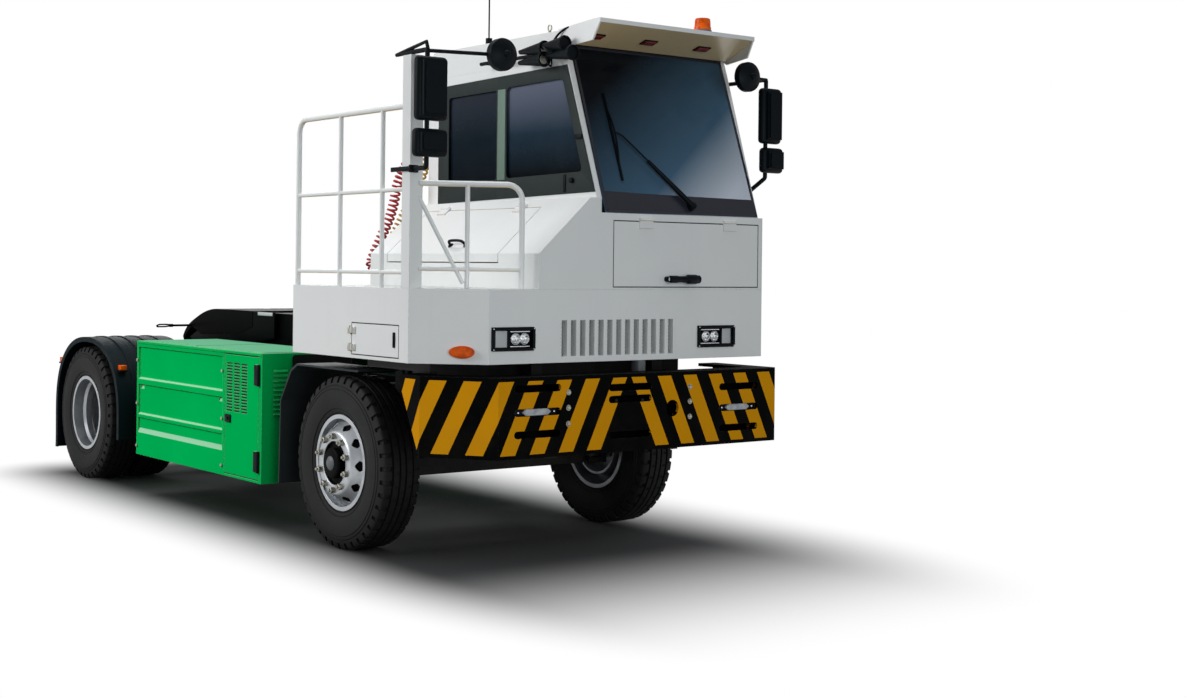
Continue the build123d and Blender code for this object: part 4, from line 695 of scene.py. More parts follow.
# Painted reflection: the side glass pale grey at the top and near black low down
side_glass = tinted("side_glass", "6b7184", "1f313f", "020406", (2.34, 2.62, 2.95), 0.06, 0.0, 0.8)
amber_lens = lens("amber_lens", "ee6408", "a83404", 0.06, 70.0, 0.08, 0.1)
red_lens = lens("dark_red_lens", "8c2b20", "561913", 0.02, 60.0)
clear_lens = lens("clear_lens", "b9bec2", "7f858a", 0.03, 90.0)
seat_cloth = woven("seat_cloth")
HOSE_SKIN = {"gloss": 0.35, "grain": 300.0, "dust": 0.15, "shine": 0.4}
red_hose_finish = moulded("red_hose_skin", "b8121f", "970e19", **HOSE_SKIN)
yellow_hose_finish = moulded("yellow_hose_skin", "dcab28", "c0921c", **HOSE_SKIN)

FINISH_OF_SLOT = {
    "white_paint": white_paint,
    "deck_grey": deck_paint,
    "green_paint": green_paint,
    "bumper_black": bumper_paint,
    "chassis_black": frame_paint,
    "rod_chrome": rod_chrome,
    "wheel_silver": wheel_silver,
    "tyre_rubber": tyre_rubber,
    "guard_plastic": guard_plastic,
    "black_plastic": black_plastic,
    "tinted_glass": side_glass,
    "lamp_clear": clear_lens,
    "lamp_amber": amber_lens,
    "seat_fabric": seat_cloth,
    "hose_red": red_hose_finish,
    "hose_yellow": yellow_hose_finish,
}
FINISH_OF_NODE = {"windscreen": screen_glass, "front_mudguards": front_guard_lightened_plastic}
for part in frame["record"]["subparts"]:
    solid = frame["nodes"][part["node"]]
    solid.data.materials.clear()
    solid.data.materials.append(FINISH_OF_NODE.get(part["node"]) or FINISH_OF_SLOT[part["material_slot"]])


# Camera at the photograph's place
YAW = math.radians(35.945)
ROLL = math.radians(0.632)
CAMERA_AT = (10.392, -6.245, 1.77)
ahead = Vector((-math.cos(YAW), math.sin(YAW), 0))
aside = Vector((math.sin(YAW), math.cos(YAW), 0))
lens_data = bpy.data.cameras.new("camera")
lens_data.sensor_width = 36
lens_data.lens = 49.008
lens_data.shift_x = 0.0767
lens_data.shift_y = -0.0688
camera = linked("camera", lens_data)
across = aside * math.cos(ROLL) + UP * math.sin(ROLL)
above = UP * math.cos(ROLL) - aside * math.sin(ROLL)
turn = Matrix((across, above, -ahead)).transposed().to_4x4()
camera.matrix_world = Matrix.Translation(CAMERA_AT) @ turn
bpy.context.scene.camera = camera


# Coiled air hoses
HOSE_R = 0.0075
COIL_R = 0.0305
COIL_PITCH = 0.034
LEAD = 0.06
TURN_POINTS = 14


def route_points(points):
    """Points along the smooth line of a route."""
    route = tube("route", points, 40)
    found = [v.co.copy() for v in bpy.data.meshes.new_from_object(route).vertices]
    discard(route)
    return found


def coil_along(points):
    """A helix about a route, with a straight lead at each end."""
    runs = [(b - a).length for a, b in zip(points, points[1:])]
    whole = sum(runs)
    steps = int((whole - 2 * LEAD) / COIL_PITCH * TURN_POINTS)
    place = []
    travelled = 0.0
    index = 0
    for step in range(steps + 1):
        want = LEAD + (whole - 2 * LEAD) * step / steps
        while index < len(runs) - 1 and travelled + runs[index] < want:
            travelled += runs[index]
            index += 1
        along = (points[index + 1] - points[index]).normalized()
        centre = points[index] + along * (want - travelled)
        side = along.cross(UP).normalized()
        lift = side.cross(along)
        turn = math.tau * step / TURN_POINTS
        swell = min(1.0, step / TURN_POINTS, (steps - step) / TURN_POINTS)
        place.append(centre + (side * math.cos(turn) + lift * math.sin(turn)) * COIL_R * swell)
    first, last = points[0], points[-1]
    return [first, first.lerp(place[0], 0.5), *place, place[-1].lerp(last, 0.5), last]


def air_hose(name, points, finish, node):
    coil = coil_along(route_points(points))
    hose = tube(name, coil, 2, HOSE_R, 2)
    coupler = fitting_on(name, coil[-2], coil[-1])
    fit([hose], name, finish, stands_for=(node,))


def fitting_on(name, before, end):
    """A zinc-plated quick coupling on a hose end."""
    along = (Vector(end) - Vector(before)).normalized()
    profile = [(TIP, -0.045), (0.0075, -0.045), (0.0095, -0.03), (0.014, -0.028), (0.0165, -0.012)]
    profile += [(0.0165, 0.008), (0.0115, 0.011), (0.0115, 0.026), (TIP, 0.028)]
    piece = turned(profile, end, along, 18)
    return fit([piece], name + "_coupling", bolt_zinc)


RED_ROUTE = [
    (CAB_REAR_X, -0.02, 2.69),
    (0.8947, -0.02, 2.69),
    (0.9397, -0.29, 2.4),
    (0.9497, -0.332, 2.15),
    (0.9397, -0.445, 1.92),
    (0.9047, -0.505, 1.745),
    (CAB_REAR_X, -0.505, 1.745),
]
YELLOW_ROUTE = [
    (CAB_REAR_X, -0.02, 2.57),
    (0.9167, -0.02, 2.57),
    (0.9447, -0.12, 2.34),
    (0.9397, -0.305, 2.0),
    (0.9097, -0.34, 1.89),
    (CAB_REAR_X, -0.34, 1.89),
]
air_hose("red_coil_hose", RED_ROUTE, red_hose_finish, "red_hose")
air_hose("yellow_coil_hose", YELLOW_ROUTE, yellow_hose_finish, "yellow_hose")


# Tyres
# Half of the section from the bead out to the middle of the tread: radius, distance from the middle
TYRE_SECTION = [
    (0.2865, 0.108), (0.296, 0.1135), (0.306, 0.1195), (0.308, 0.1165), (0.311, 0.1165), (0.313, 0.1225),
    (0.33, 0.129), (0.333, 0.1265), (0.336, 0.127), (0.339, 0.133), (0.36, 0.139), (0.385, 0.144),
    (0.425, 0.1478), (0.455, 0.1465), (0.458, 0.1425), (0.462, 0.142), (0.465, 0.1455), (0.476, 0.1435),
    (0.479, 0.139), (0.483, 0.138), (0.486, 0.1415), (0.498, 0.1385), (0.512, 0.134), (0.524, 0.129),
    (0.534, 0.1235), (0.5385, 0.115), (0.5395, 0.079), (0.526, 0.0765), (0.5255, 0.0665), (0.5405, 0.0635),
    (0.5412, 0.0285), (0.527, 0.026), (0.527, 0.0165), (0.5415, 0.014), (0.5416, 0.0),
]
TYRE_STEPS = 120


def tyre():
    """A road tyre about the origin's Y axis with grooves, shoulder notches and rib sipes."""
    section = TYRE_SECTION + [(r, -d) for r, d in reversed(TYRE_SECTION[:-1])]
    piece = turned(section + [section[0]], ORIGIN, LEFT, TYRE_STEPS)
    editing()

    def spot(face):
        """A face's radius, its distance from the middle and its place in each three steps."""
        centre = face.calc_center_median()
        step = math.floor(math.degrees(math.atan2(centre.z, centre.x)) / (360 / TYRE_STEPS))
        return math.hypot(centre.x, centre.z), abs(centre.y), step % 3

    def notch(face):
        r, out, third = spot(face)
        return r > 0.5 and out > 0.08 and third == 0

    def sipe(face):
        r, out, third = spot(face)
        return r > 0.5395 and out < 0.0635 and third == (1 if out < 0.02 else 2)

    pick("FACE", notch)
    sink(0.012)
    pick("FACE", sipe)
    bpy.ops.mesh.inset(thickness=0.006, use_individual=True)
    sink(0.005)
    leave_editing()
    return piece


plain_tyre = tyre()
for side_name, side in (("left", 1), ("right", -1)):
    for wheel, node, label, axle_x, lines in (
        ("front_wheel_", "front_tyre_", "front_road_tyre_", FRONT_AXLE_X, (FRONT_TYRE_Y,)),
        ("rear_wheels_", "rear_tyres_", "rear_road_tyres_", REAR_AXLE_X, (REAR_INNER_Y, REAR_OUTER_Y)),
    ):
        tyres = [copied(plain_tyre, (axle_x, side * y, AXLE_Z)) for y in lines]
        fit(tyres, label + side_name, tyre_rubber, wheel + side_name, (node + side_name,))
discard(plain_tyre)


# Glazing trim
SCREEN_LEAN = (BODY_FRONT_X - SCREEN_TOP[0]) / (SCREEN_TOP[1] - SCREEN_Z)
SCREEN_OUT = Vector((1, 0, SCREEN_LEAN)).normalized()


def on_screen(y, z, out=0.0):
    """A point on the windscreen's outer face, or some way in front of it."""
    return Vector((BODY_FRONT_X - (z - SCREEN_Z) * SCREEN_LEAN, y, z)) + SCREEN_OUT * out


def bulged(points, out, steps):
    """A lens on a flat outline: each step pushes the face out and then draws it in."""
    piece = outline(points)
    for push, draw in steps:
        push_out(Vector(out) * push)
        bpy.ops.mesh.inset(thickness=draw)
    face_outward()
    leave_editing()
    return piece


edge = ((-0.058, 2.109), (1.208, 2.109), (1.208, 3.15), (-0.058, 3.15))
border = [on_screen(y, z, SKIN) for y, z in edge]
screen_edge = ring(border, 0.02, SCREEN_OUT * 0.0012, 0.012, 0)
foot = [(-0.045, 2.118), (1.195, 2.118), (1.195, 2.222), (0.7, 2.226), (0.2, 2.232), (-0.045, 2.238)]
screen_foot = plate([on_screen(y, z, SKIN) for y, z in foot], SCREEN_OUT * 0.001, 0, 0)
fit([screen_edge, screen_foot], "screen_border", screen_black)

pivot = on_screen(0.636, 2.157)
knee = on_screen(0.335, 2.426, 0.036)
hook = on_screen(0.118, 2.592, 0.034)
cap = [(TIP, 0.0), (0.026, 0.0), (0.026, 0.022), (0.02, 0.04), (TIP, 0.042)]
wiper = [
    turned(cap, pivot, SCREEN_OUT, 20),
    peg(pivot + SCREEN_OUT * 0.026, knee, 0.018, 0.002, 12, 0.011),
    wire([knee, on_screen(0.2, 2.545, 0.04), on_screen(0.15, 2.59, 0.038), hook], 0.0055),
    peg(on_screen(0.116, 2.851, 0.008), on_screen(0.12, 2.305, 0.008), 0.0085, 0.001, 10),
    wire([on_screen(0.116, 2.74, 0.012), on_screen(0.117, 2.66, 0.034), hook], 0.006),
    wire([on_screen(0.119, 2.42, 0.012), on_screen(0.1185, 2.51, 0.034), hook], 0.006),
]
fit(wiper, "windscreen_wiper", black_plastic)

# Right side window: a charcoal frame with two panes and a green bar between them
FRAME_OUT = (0, -0.0045, 0)


def beside(points):
    """Points of a side view set on the cab's right wall."""
    return [(x, CAB_RIGHT_Y - SKIN, z) for x, z in points]


front_pane = surround(
    beside([(1.94, 2.2137), (2.862, 2.231), (2.575, 3.023), (1.94, 3.0104)]),
    beside([(1.95, 2.345), (2.735, 2.358), (2.532, 2.94), (1.95, 2.93)]),
    0.03,
    FRAME_OUT,
)
rear_pane = surround(
    beside([(1.16, 2.199), (1.85, 2.212), (1.85, 3.0087), (1.16, 2.995)]),
    beside([(1.285, 2.35), (1.84, 2.338), (1.84, 2.92), (1.285, 2.912)]),
    0.02,
    FRAME_OUT,
)
sill = plate(beside([(1.85, 2.212), (1.94, 2.2137), (1.94, 2.335), (1.85, 2.335)]), FRAME_OUT, 0, 0)
head = plate(beside([(1.85, 2.925), (1.94, 2.925), (1.94, 3.0104), (1.85, 3.0087)]), FRAME_OUT, 0, 0)
fit([front_pane, rear_pane, sill, head], "side_window_frame", frame_grey)
bar = beside([(1.853, 2.336), (1.937, 2.336), (1.937, 2.924), (1.853, 2.924)])
divider = plate(bar, (0, -0.007, 0), 0, 0.002)
fit([divider], "side_window_divider", divider_green)
catches = [
    peg((2.641, -0.1045, 2.307), (2.641, -0.124, 2.307), 0.017, 0.004, 20),
    slab((2.66, -0.114, 2.556), (2.735, -0.1045, 2.586), 0.003),
    slab((2.556, -0.111, 2.236), (2.577, -0.1045, 2.345), 0.002),
]
fit(catches, "side_window_catches", black_plastic)

# Rubber seals of the other windows: outer corners
LEFT_SEAL = [(2.062, 2.212), (2.82, 2.212), (2.545, 3.003), (2.062, 3.003)]
left_seal = ring([(x, SIDE_FACE_Y, z) for x, z in LEFT_SEAL], 0.032, (0, 0.004, 0), 0.03)
rear_seal = ring(front_rect(CAB_REAR_X, (0.032, 1.118), (2.132, 2.968)), 0.032, (-0.004, 0, 0), 0.04)
fit([left_seal, rear_seal], "window_seals", gasket_rubber)
door_seal = ring(side_rect(SIDE_FACE_Y, (1.202, 1.918), (2.132, 2.918)), 0.032, (0, 0.004, 0), 0.04)
door_grip = slab((1.176, SIDE_FACE_Y, 1.976), (1.324, 1.284, 2.019), 0.008, 3)
fit([door_seal, door_grip], "door_seal_and_grip", gasket_rubber, "door")


# Headlamps and fog lamps
# Frame Y and Z, pale panel Y, lamp box Y
HEAD_LAMPS = [
    ((-0.896, -0.590), (1.290, 1.427), (-0.866, -0.784), (-0.770, -0.618)),
    ((0.690, 1.005), (1.282, 1.418), (0.897, 0.977), (0.712, 0.882)),
]
LAMP_BACK_X = 2.894
BOWL = [(TIP, 0.006), (0.008, 0.006), (0.010, 0.003), (0.021, 0.005), (0.029, 0.014), (0.032, 0.022)]
BOWL += [(0.0335, 0.022), (0.0335, 0.0)]
# Fog lamps in the bumper's slots: Y and Z, and their pointed outline
FOG_LAMPS = [(-0.691, 0.950), (0.882, 0.915)]
FOG_LINE = [(-0.102, 0), (-0.078, -0.0185), (0.078, -0.0185), (0.102, 0), (0.078, 0.0185), (-0.078, 0.0185)]
FOG_BACK_X = 3.069
housings, bowls, pale = [], [], []
for frame_y, frame_z, panel_y, box_y in HEAD_LAMPS:
    mid_z = sum(frame_z) / 2
    tray_y = (frame_y[0] + 0.002, frame_y[1] - 0.002)
    tray_z = (frame_z[0] + 0.002, frame_z[1] - 0.002)
    rim = front_rect(BODY_FRONT_X + SKIN, frame_y, frame_z)
    housings.append(ring(rim, 0.017, (0.014, 0, 0), 0.016, 0.004))
    housings.append(plate(front_rect(2.8905, tray_y, tray_z), (0.004, 0, 0), 0, 0))
    split_y = (panel_y[1] + box_y[0]) / 2 if panel_y[0] < box_y[0] else (box_y[1] + panel_y[0]) / 2
    split_low = (LAMP_BACK_X, split_y - 0.006, tray_z[0])
    housings.append(slab(split_low, (2.923, split_y + 0.006, tray_z[1]), 0.002))
    panel_low = (LAMP_BACK_X, panel_y[0], frame_z[0] + 0.02)
    pale.append(slab(panel_low, (2.916, panel_y[1], frame_z[1] - 0.02), 0.004))
    for place in (0.29, 0.71):
        y = box_y[0] + (box_y[1] - box_y[0]) * place
        bowls.append(turned(BOWL, (2.895, y, mid_z), FORWARD, 28))
    for z in (mid_z - 0.043, mid_z + 0.043):
        strip_low = (2.896, box_y[0] + 0.006, z - 0.0035)
        bowls.append(slab(strip_low, (2.919, box_y[1] - 0.006, z + 0.0035), 0.0015))
    for y in (frame_y[0] + 0.009, frame_y[1] - 0.009):
        for z in (frame_z[0] + 0.009, frame_z[1] - 0.009):
            bowls.append(peg((2.926, y, z), (2.9295, y, z), 0.0045, 0.001, 10))
fogs = []
for y, z in FOG_LAMPS:
    corners = [(FOG_BACK_X + 0.001, y + a, z + b) for a, b in FOG_LINE]
    fogs.append(bulged(corners, FORWARD, [(0.01, 0.003), (0.004, 0.004)]))
    housings.append(slab((3.05, y - 0.16, z - 0.02), (FOG_BACK_X, y + 0.16, z + 0.02), 0.003))
    for end in (y - 0.128, y + 0.128):
        bowls.append(peg((FOG_BACK_X, end, z), (FOG_BACK_X + 0.008, end, z), 0.006, 0.001, 12))
fit(housings, "lamp_housings", black_plastic)
fit(bowls, "lamp_bowls", rod_chrome)
fit(pale, "turn_lamp_panels", lamp_shell)
fit(fogs, "fog_lamp_lenses", clear_lens, stands_for=("front_lamps",))

# Grille: a black plate behind, painted shade seen through the net, and a diamond net in each slot
GRILLE_Y = (-0.388, 0.487)
SLOTS = 13
SLOT_W = 0.04
GRILLE_PITCH = (GRILLE_Y[1] - GRILLE_Y[0] - SLOT_W) / (SLOTS - 1)
# Painted shade: a black plate behind the net darkens what shows through its holes
shade_plate = plate(front_rect(2.868, (-0.42, 0.52), (1.235, 1.477)), (0.004, 0, 0), 0.01)
fit([shade_plate], "grille_shade_plate", gasket_rubber)


def slot_net():
    """One slot's diamond net, at the first slot."""
    place = (2.9, GRILLE_Y[0] + SLOT_W / 2, 1.356)
    bpy.ops.mesh.primitive_grid_add(x_subdivisions=10, y_subdivisions=2, size=1, location=place)
    net = bpy.context.object
    net.rotation_euler = (0, math.radians(90), 0)
    net.scale = (0.212, SLOT_W, 1)
    set_place()
    editing()
    pick_all()
    bpy.ops.mesh.poke()

    def straight(edge):
        run = edge.verts[0].co - edge.verts[1].co
        return min(abs(run.y), abs(run.z)) < 0.0001 and not edge.is_boundary

    pick("EDGE", straight)
    bpy.ops.mesh.dissolve_edges()
    bpy.ops.mesh.select_mode(type="FACE")
    pick_all()
    bpy.ops.mesh.inset(thickness=0.001, use_individual=True, use_boundary=True)
    bpy.ops.mesh.delete(type="FACE")
    thicken((0.0015, 0, 0), 0)
    return net


first_net = slot_net()
nets = [first_net] + [copied(first_net, (0, GRILLE_PITCH * step, 0)) for step in range(1, SLOTS)]
fit(nets, "grille_net", white_paint)

# Bumper bolts, black discs as painted shade in the bolt holes, and the grey stop above the bumper
bolt = [(TIP, 0.0125), (0.009, 0.0125), (0.0115, 0.010), (0.0115, 0.004), (0.0165, 0.004), (0.0175, 0.0005)]
bolt_places = [(BUMPER_FRONT_X, y, z) for y in (-0.471, 0.471) for z in (1.055, 0.966, 0.874)]
bolts = [turned(bolt, place, FORWARD, 18) for place in bolt_places]
fit(bolts, "bumper_bolts", bolt_zinc)
# Painted shade: black discs where the bumper has bolt holes
holes = [peg((3.0885, y, z), (3.0906, y, z), 0.011, 0.0003, 16) for y, z in ((-0.111, 0.994), (0.092, 0.988))]
fit(holes, "bumper_bolt_hole_shades", gasket_rubber)
stop = slab((2.86, 0.196, 1.1405), (2.93, 0.252, 1.2135), 0.005)
fit([stop], "bumper_stop", stop_grey)

# Hatch seals, latches and handles
hatch_seal = ring(front_rect(2.9005, (-0.001, 1.215), (1.656, 2.062)), 0.0052, (0.0128, 0, 0), 0.004, 0)
side_seal = ring(side_rect(-1.2362, (1.9565, 2.4915), (1.2345, 1.4295)), 0.0048, (0, -0.0128, 0), 0.004, 0)
fit([hatch_seal, side_seal], "hatch_seals", gasket_rubber)

GRIP_PROFILE = [(TIP, -0.008), (0.017, -0.008), (0.022, -0.004), (0.0225, 0.05)]
GRIP_PROFILE += [(0.02, 0.062), (0.0195, 0.128), (0.021, 0.134), (0.029, 0.142)]
GRIP_PROFILE += [(0.0295, 0.206), (0.026, 0.212), (0.026, 0.232), (TIP, 0.234)]
GRIP_ENDS_Y = (0.424, 0.647)
GRIP_Z = 1.708
grip = [turned(GRIP_PROFILE, (2.959, GRIP_ENDS_Y[0], GRIP_Z), LEFT, 28)]
for y in GRIP_ENDS_Y:
    grip.append(peg((2.9145, y, GRIP_Z), (2.955, y, GRIP_Z), 0.0165, 0.002, 24))
fit(grip, "front_hatch_grip", black_plastic, "front_hatch")

SLOPE = Vector((0, 0.38, 0.34)).normalized()
SLOPE_OUT = Vector((0, -SLOPE.z, SLOPE.y))
lid_foot = Vector((2.0, -0.56, 1.853)) + SLOPE * 0.075
arch = [(-0.085, 0.0), (-0.082, 0.03), (-0.055, 0.044), (0.055, 0.044), (0.082, 0.03), (0.085, 0.0)]
pull = [wire([lid_foot + Vector((x, 0, 0)) + SLOPE_OUT * out for x, out in arch], 0.009)]
for x in (-0.085, 0.085):
    foot_at = lid_foot + Vector((x, 0, 0))
    pull.append(peg(foot_at + SLOPE_OUT * 0.0003, foot_at + SLOPE_OUT * 0.009, 0.02, 0.002, 20, 0.016))
fit(pull, "hood_lid_pull", black_plastic, "hood_lid")

latch = [
    slab((2.43, -1.2565, 1.296), (2.454, -SIDE_FACE_Y, 1.386), 0.003),
    slab((2.437, -1.2605, 1.31), (2.447, -1.2565, 1.372), 0.002),
]
fit(latch, "side_hatch_latch", black_plastic, "side_hatch")
leaves = []
for z in (1.26, 1.364):
    leaves.append(peg((1.947, -1.2593, z - 0.004), (1.947, -1.2593, z + 0.044), 0.0105, 0.0015, 16))
    leaves.append(slab((1.972, -1.2615, z + 0.001), (2.004, -1.2594, z + 0.039), 0.001))
fit(leaves, "side_hatch_hinges", bolt_zinc, "side_hatch")

box_latch = [slab((0.222, -1.232, 0.682), (0.302, -1.2203, 0.738), 0.006, 3)]
box_latch.append(peg((0.262, -1.232, 0.71), (0.262, -1.239, 0.71), 0.013, 0.002, 20))
for z in (0.38, 0.96):
    box_latch.append(peg((0.715, -1.2293, z - 0.002), (0.715, -1.2293, z + 0.142), 0.0112, 0.0015, 16))
    box_latch.append(slab((0.652, -1.2318, z + 0.002), (0.699, -1.2294, z + 0.138), 0.001))
fit(box_latch, "battery_door_latch_and_hinges", black_plastic, "battery_door")

# Rubber splash sheets behind the front wheels, and the boxes' pegs
sheets = []
for y in ((-1.0, -0.545), (0.545, 0.95)):
    sheets.append(plate(front_rect(0.7605, y, (0.33, 1.165)), (0.005, 0, 0), 0.02))
fit(sheets, "splash_sheets", gasket_rubber)
pegs = []
for x in (0.165, -1.29):
    for z in (1.03, 0.7, 0.375):
        pegs.append(peg((x, BOX_SIDE_Y - 0.0002, z), (x, BOX_SIDE_Y - 0.012, z), 0.012, 0.003, 16))
fit(pegs, "battery_box_pegs", bolt_zinc)

# Black sheets behind the slots of the battery door: painted shade in the slots
SHADE_SHEET_Y = BOX_SIDE_Y + 0.004
LOUVRE_COLUMNS = 3
LOUVRE_ROWS = 17
COLUMN_PITCH = 0.11
ROW_PITCH = 0.345 / LOUVRE_ROWS
shade_sheet = plate(side_rect(SHADE_SHEET_Y, (0.2302, 0.3158), (0.7602, 0.77)), (0, 0.0005, 0), 0, 0)
shade_sheets = [shade_sheet]
for column in range(LOUVRE_COLUMNS):
    for row in range(LOUVRE_ROWS):
        if column or row:
            shade_sheets.append(copied(shade_sheet, (COLUMN_PITCH * column, 0, ROW_PITCH * row)))
fit(shade_sheets, "battery_door_slot_shade_sheets", gasket_rubber, "battery_door")

# Side aprons of the coupling, closed down to the boom, and a blank plate on the right one
APRON = [(-0.55, 1.408), (-0.55, 1.21), (-1.0, 1.15), (-1.45, 1.12)]
APRON += [(-1.95, 1.12), (-2.03, 1.165), (-1.8, 1.26), (-0.95, 1.408)]
aprons = []
for side in (-1, 1):
    aprons.append(plate([(x, side * 0.432, z) for x, z in APRON], (0, side * 0.014, 0), 0, 0.002))
fit(aprons, "coupling_aprons", hub_black, "coupling")
blank = plate(side_rect(-0.4463, (-0.815, -0.575), (1.379, 1.405)), (0, -0.0015, 0), 0.003, 0.0003)
fit([blank], "coupling_blank_plate", lamp_shell, "coupling")

# Mirrors: rear X, Y and Z of each glass
MIRROR_GLASS = [
    (2.7397, (-1.319, -1.146), (2.622, 2.925)),
    (2.7397, (-1.329, -1.143), (2.414, 2.521)),
    (2.8747, (1.244, 1.384), (2.62, 2.92)),
    (2.8747, (1.256, 1.404), (2.424, 2.542)),
]
# Round mirrors: rear and front X, Y, Z
DISHES = [((2.76, 2.806), -0.75, 3.005), ((2.877, 2.921), 1.115, 3.01)]
DISH_GLASS = [(TIP, 0.012), (0.05, 0.009), (0.084, 0.001), (0.084, 0.0)]
glasses = [plate(front_rect(x, y, z), (-0.003, 0, 0), 0.03) for x, y, z in MIRROR_GLASS]
glasses += [turned(DISH_GLASS, (x[0] - SKIN, y, z), (-1, 0, 0), 36) for x, y, z in DISHES]
fit(glasses, "mirror_glasses", mirror_silver)


# Heads and rods that stand for the plain ones
def mirror_head(x, y, z):
    """A moulded head: a rounded shell whose front is drawn in to a crown."""
    piece = slab((x, y[0], z[0]), (x + 0.06, y[1], z[1]), 0.026, 4)
    editing()
    pick("FACE", lambda face: face.normal.x > 0.999)
    for push, draw in ((0.022, 0.012), (0.012, 0.02)):
        push_out((push, 0, 0))
        bpy.ops.mesh.inset(thickness=draw)
    leave_editing()
    return piece


def bent(points, reach):
    """A line with a point just before and just after each inner corner, for a rounded bend."""
    points = [Vector(point) for point in points]
    line = [points[0]]
    for before, corner, after in zip(points, points[1:], points[2:]):
        entry, leave = ((end - corner).normalized() * reach for end in (before, after))
        line += [corner + entry, corner, corner + leave]
    return line + [points[-1]]


def mirror_set(heads, line, reach, arm, dish, stubs):
    """Two heads and a round mirror on one bent rod."""
    pieces = [mirror_head(*head) for head in heads]
    pieces.append(wire(bent(line, reach), 0.014))
    pieces.append(peg(*arm, 0.011, 0.001, 16))
    (back, front), y, z = dish
    pieces.append(peg((back, y, z), (front, y, z), 0.095, 0.003, 40))
    x, y = line[1][:2]
    return pieces + [peg((x, y, z), (x + 0.03, y, z), 0.012, 0.001, 16) for z in stubs]


right_set = mirror_set(
    [(2.74, (-1.337, -1.128), (2.592, 2.955)), (2.74, (-1.347, -1.125), (2.387, 2.548))],
    [(2.5933, -1.23, 2.33), (2.73, -1.23, 2.33), (2.73, -1.23, 2.9993), (2.537, -1.23, 2.9993)],
    0.04,
    ((2.73, -1.238, 2.993), (2.77, -0.75, 3.005)),
    DISHES[0],
    (2.78, 2.47),
)
fit(right_set, "mirror_set_right", black_plastic, stands_for=("mirrors_right",))
LEFT_FEET = [(2.7594, 1.266, 2.275), (2.4698, 1.258, 3.01)]
left_set = mirror_set(
    [(2.875, (1.226, 1.402), (2.59, 2.95)), (2.875, (1.238, 1.422), (2.401, 2.565))],
    [LEFT_FEET[0], (2.865, 1.318, 2.37), (2.865, 1.318, 3.01), (2.4698, 1.318, 3.01), LEFT_FEET[1]],
    0.025,
    ((2.865, 1.323, 3.01), (2.89, 1.115, 3.01)),
    DISHES[1],
    (2.77, 2.483),
)
for x, _, z in LEFT_FEET:
    left_set.append(slab((x - 0.03, 1.25, z - 0.035), (x + 0.03, 1.266, z + 0.035)))
fit(left_set, "mirror_set_left", black_plastic, stands_for=("mirrors_left",))

fittings = []
DOME = [(TIP, 0.03), (0.022, 0.029), (0.05, 0.023), (0.078, 0.011), (0.094, 0.001)]
DOME += [(0.0965, -0.008), (0.0955, -0.014)]
KNOB = [(TIP, 0.024), (0.012, 0.024), (0.018, 0.019), (0.02, 0.008), (0.024, 0.0)]
for (_, front), y, z in DISHES:
    fittings.append(turned(DOME, (front - 0.001, y, z), FORWARD, 40))
    fittings.append(turned(KNOB, (front + 0.025, y, z), FORWARD, 20))
brace = [(2.402, -1.23, 2.9985), (2.56, -1.23, 3.022), (2.718, -1.23, 3.046), (2.736, -1.23, 3.0)]
fittings.append(wire(brace, 0.011, False))
fittings.append(wire([(2.402, -1.23, 2.9985), (2.55, -1.23, 2.9985)], 0.011, False))
fittings.append(slab((2.4, -1.2625, 2.316), (2.6, -SIDE_FACE_Y, 2.343), 0.003))
fittings.append(slab((2.5933, -1.2625, 2.308), (2.605, -1.2, 2.351), 0.003))
fit(fittings, "mirror_fittings", black_plastic)

# Horn mouths and throats, their leads, and the lifting eye
HORN_FRONTS = [(2.435, -0.175, 3.129), (2.43, -0.175, 3.062), (2.655, -0.19, 3.136), (2.715, -0.175, 3.075)]
RIM = [(0.038, 0.001), (0.042, 0.012), (0.047, 0.013), (0.049, 0.004), (0.0465, -0.008), (0.044, -0.01)]
mouths = [turned(RIM, place, FORWARD, 32) for place in HORN_FRONTS]
lead = [(2.47, -0.158, 3.1), (2.5, -0.16, 3.155), (2.53, -0.15, 3.2)]
lead += [(2.58, -0.135, 3.236), (2.64, -0.12, 3.248), (2.69, -0.09, 3.243)]
mouths.append(wire(lead, 0.007))
long_loop = [(2.43, -0.15, 3.09), (2.5, -0.215, 3.06), (2.53, -0.2, 3.0)]
long_loop += [(2.5, -0.16, 3.03), (2.47, -0.15, 3.1)]
short_loop = [(2.45, -0.2, 3.14), (2.51, -0.23, 3.11), (2.55, -0.205, 3.09), (2.56, -0.16, 3.13)]
mouths += [wire(loop, 0.0055) for loop in (long_loop, short_loop)]
fit(mouths, "horn_mouths_and_leads", black_plastic)
THROAT = [(TIP, 0.003), (0.012, 0.004), (0.03, 0.0012)]
throats = [turned(THROAT, place, FORWARD, 24) for place in HORN_FRONTS[:2]]
fit(throats, "horn_throats", bolt_zinc)
EYE_X, EYE_Y, EYE_Z = 2.34, -0.06, 3.276
EYE_R = 0.018
EYE_STEPS = 20
turns = [math.tau * step / EYE_STEPS for step in range(EYE_STEPS + 1)]
eye_ring = [(EYE_X + EYE_R * math.cos(turn), EYE_Y, EYE_Z + EYE_R * math.sin(turn)) for turn in turns]
eye = [wire(eye_ring, 0.005, False)]
eye.append(peg((EYE_X, EYE_Y, 3.2395), (EYE_X, EYE_Y, 3.262), 0.014, 0.003, 16, 0.008))
fit(eye, "lifting_eye", bolt_zinc)

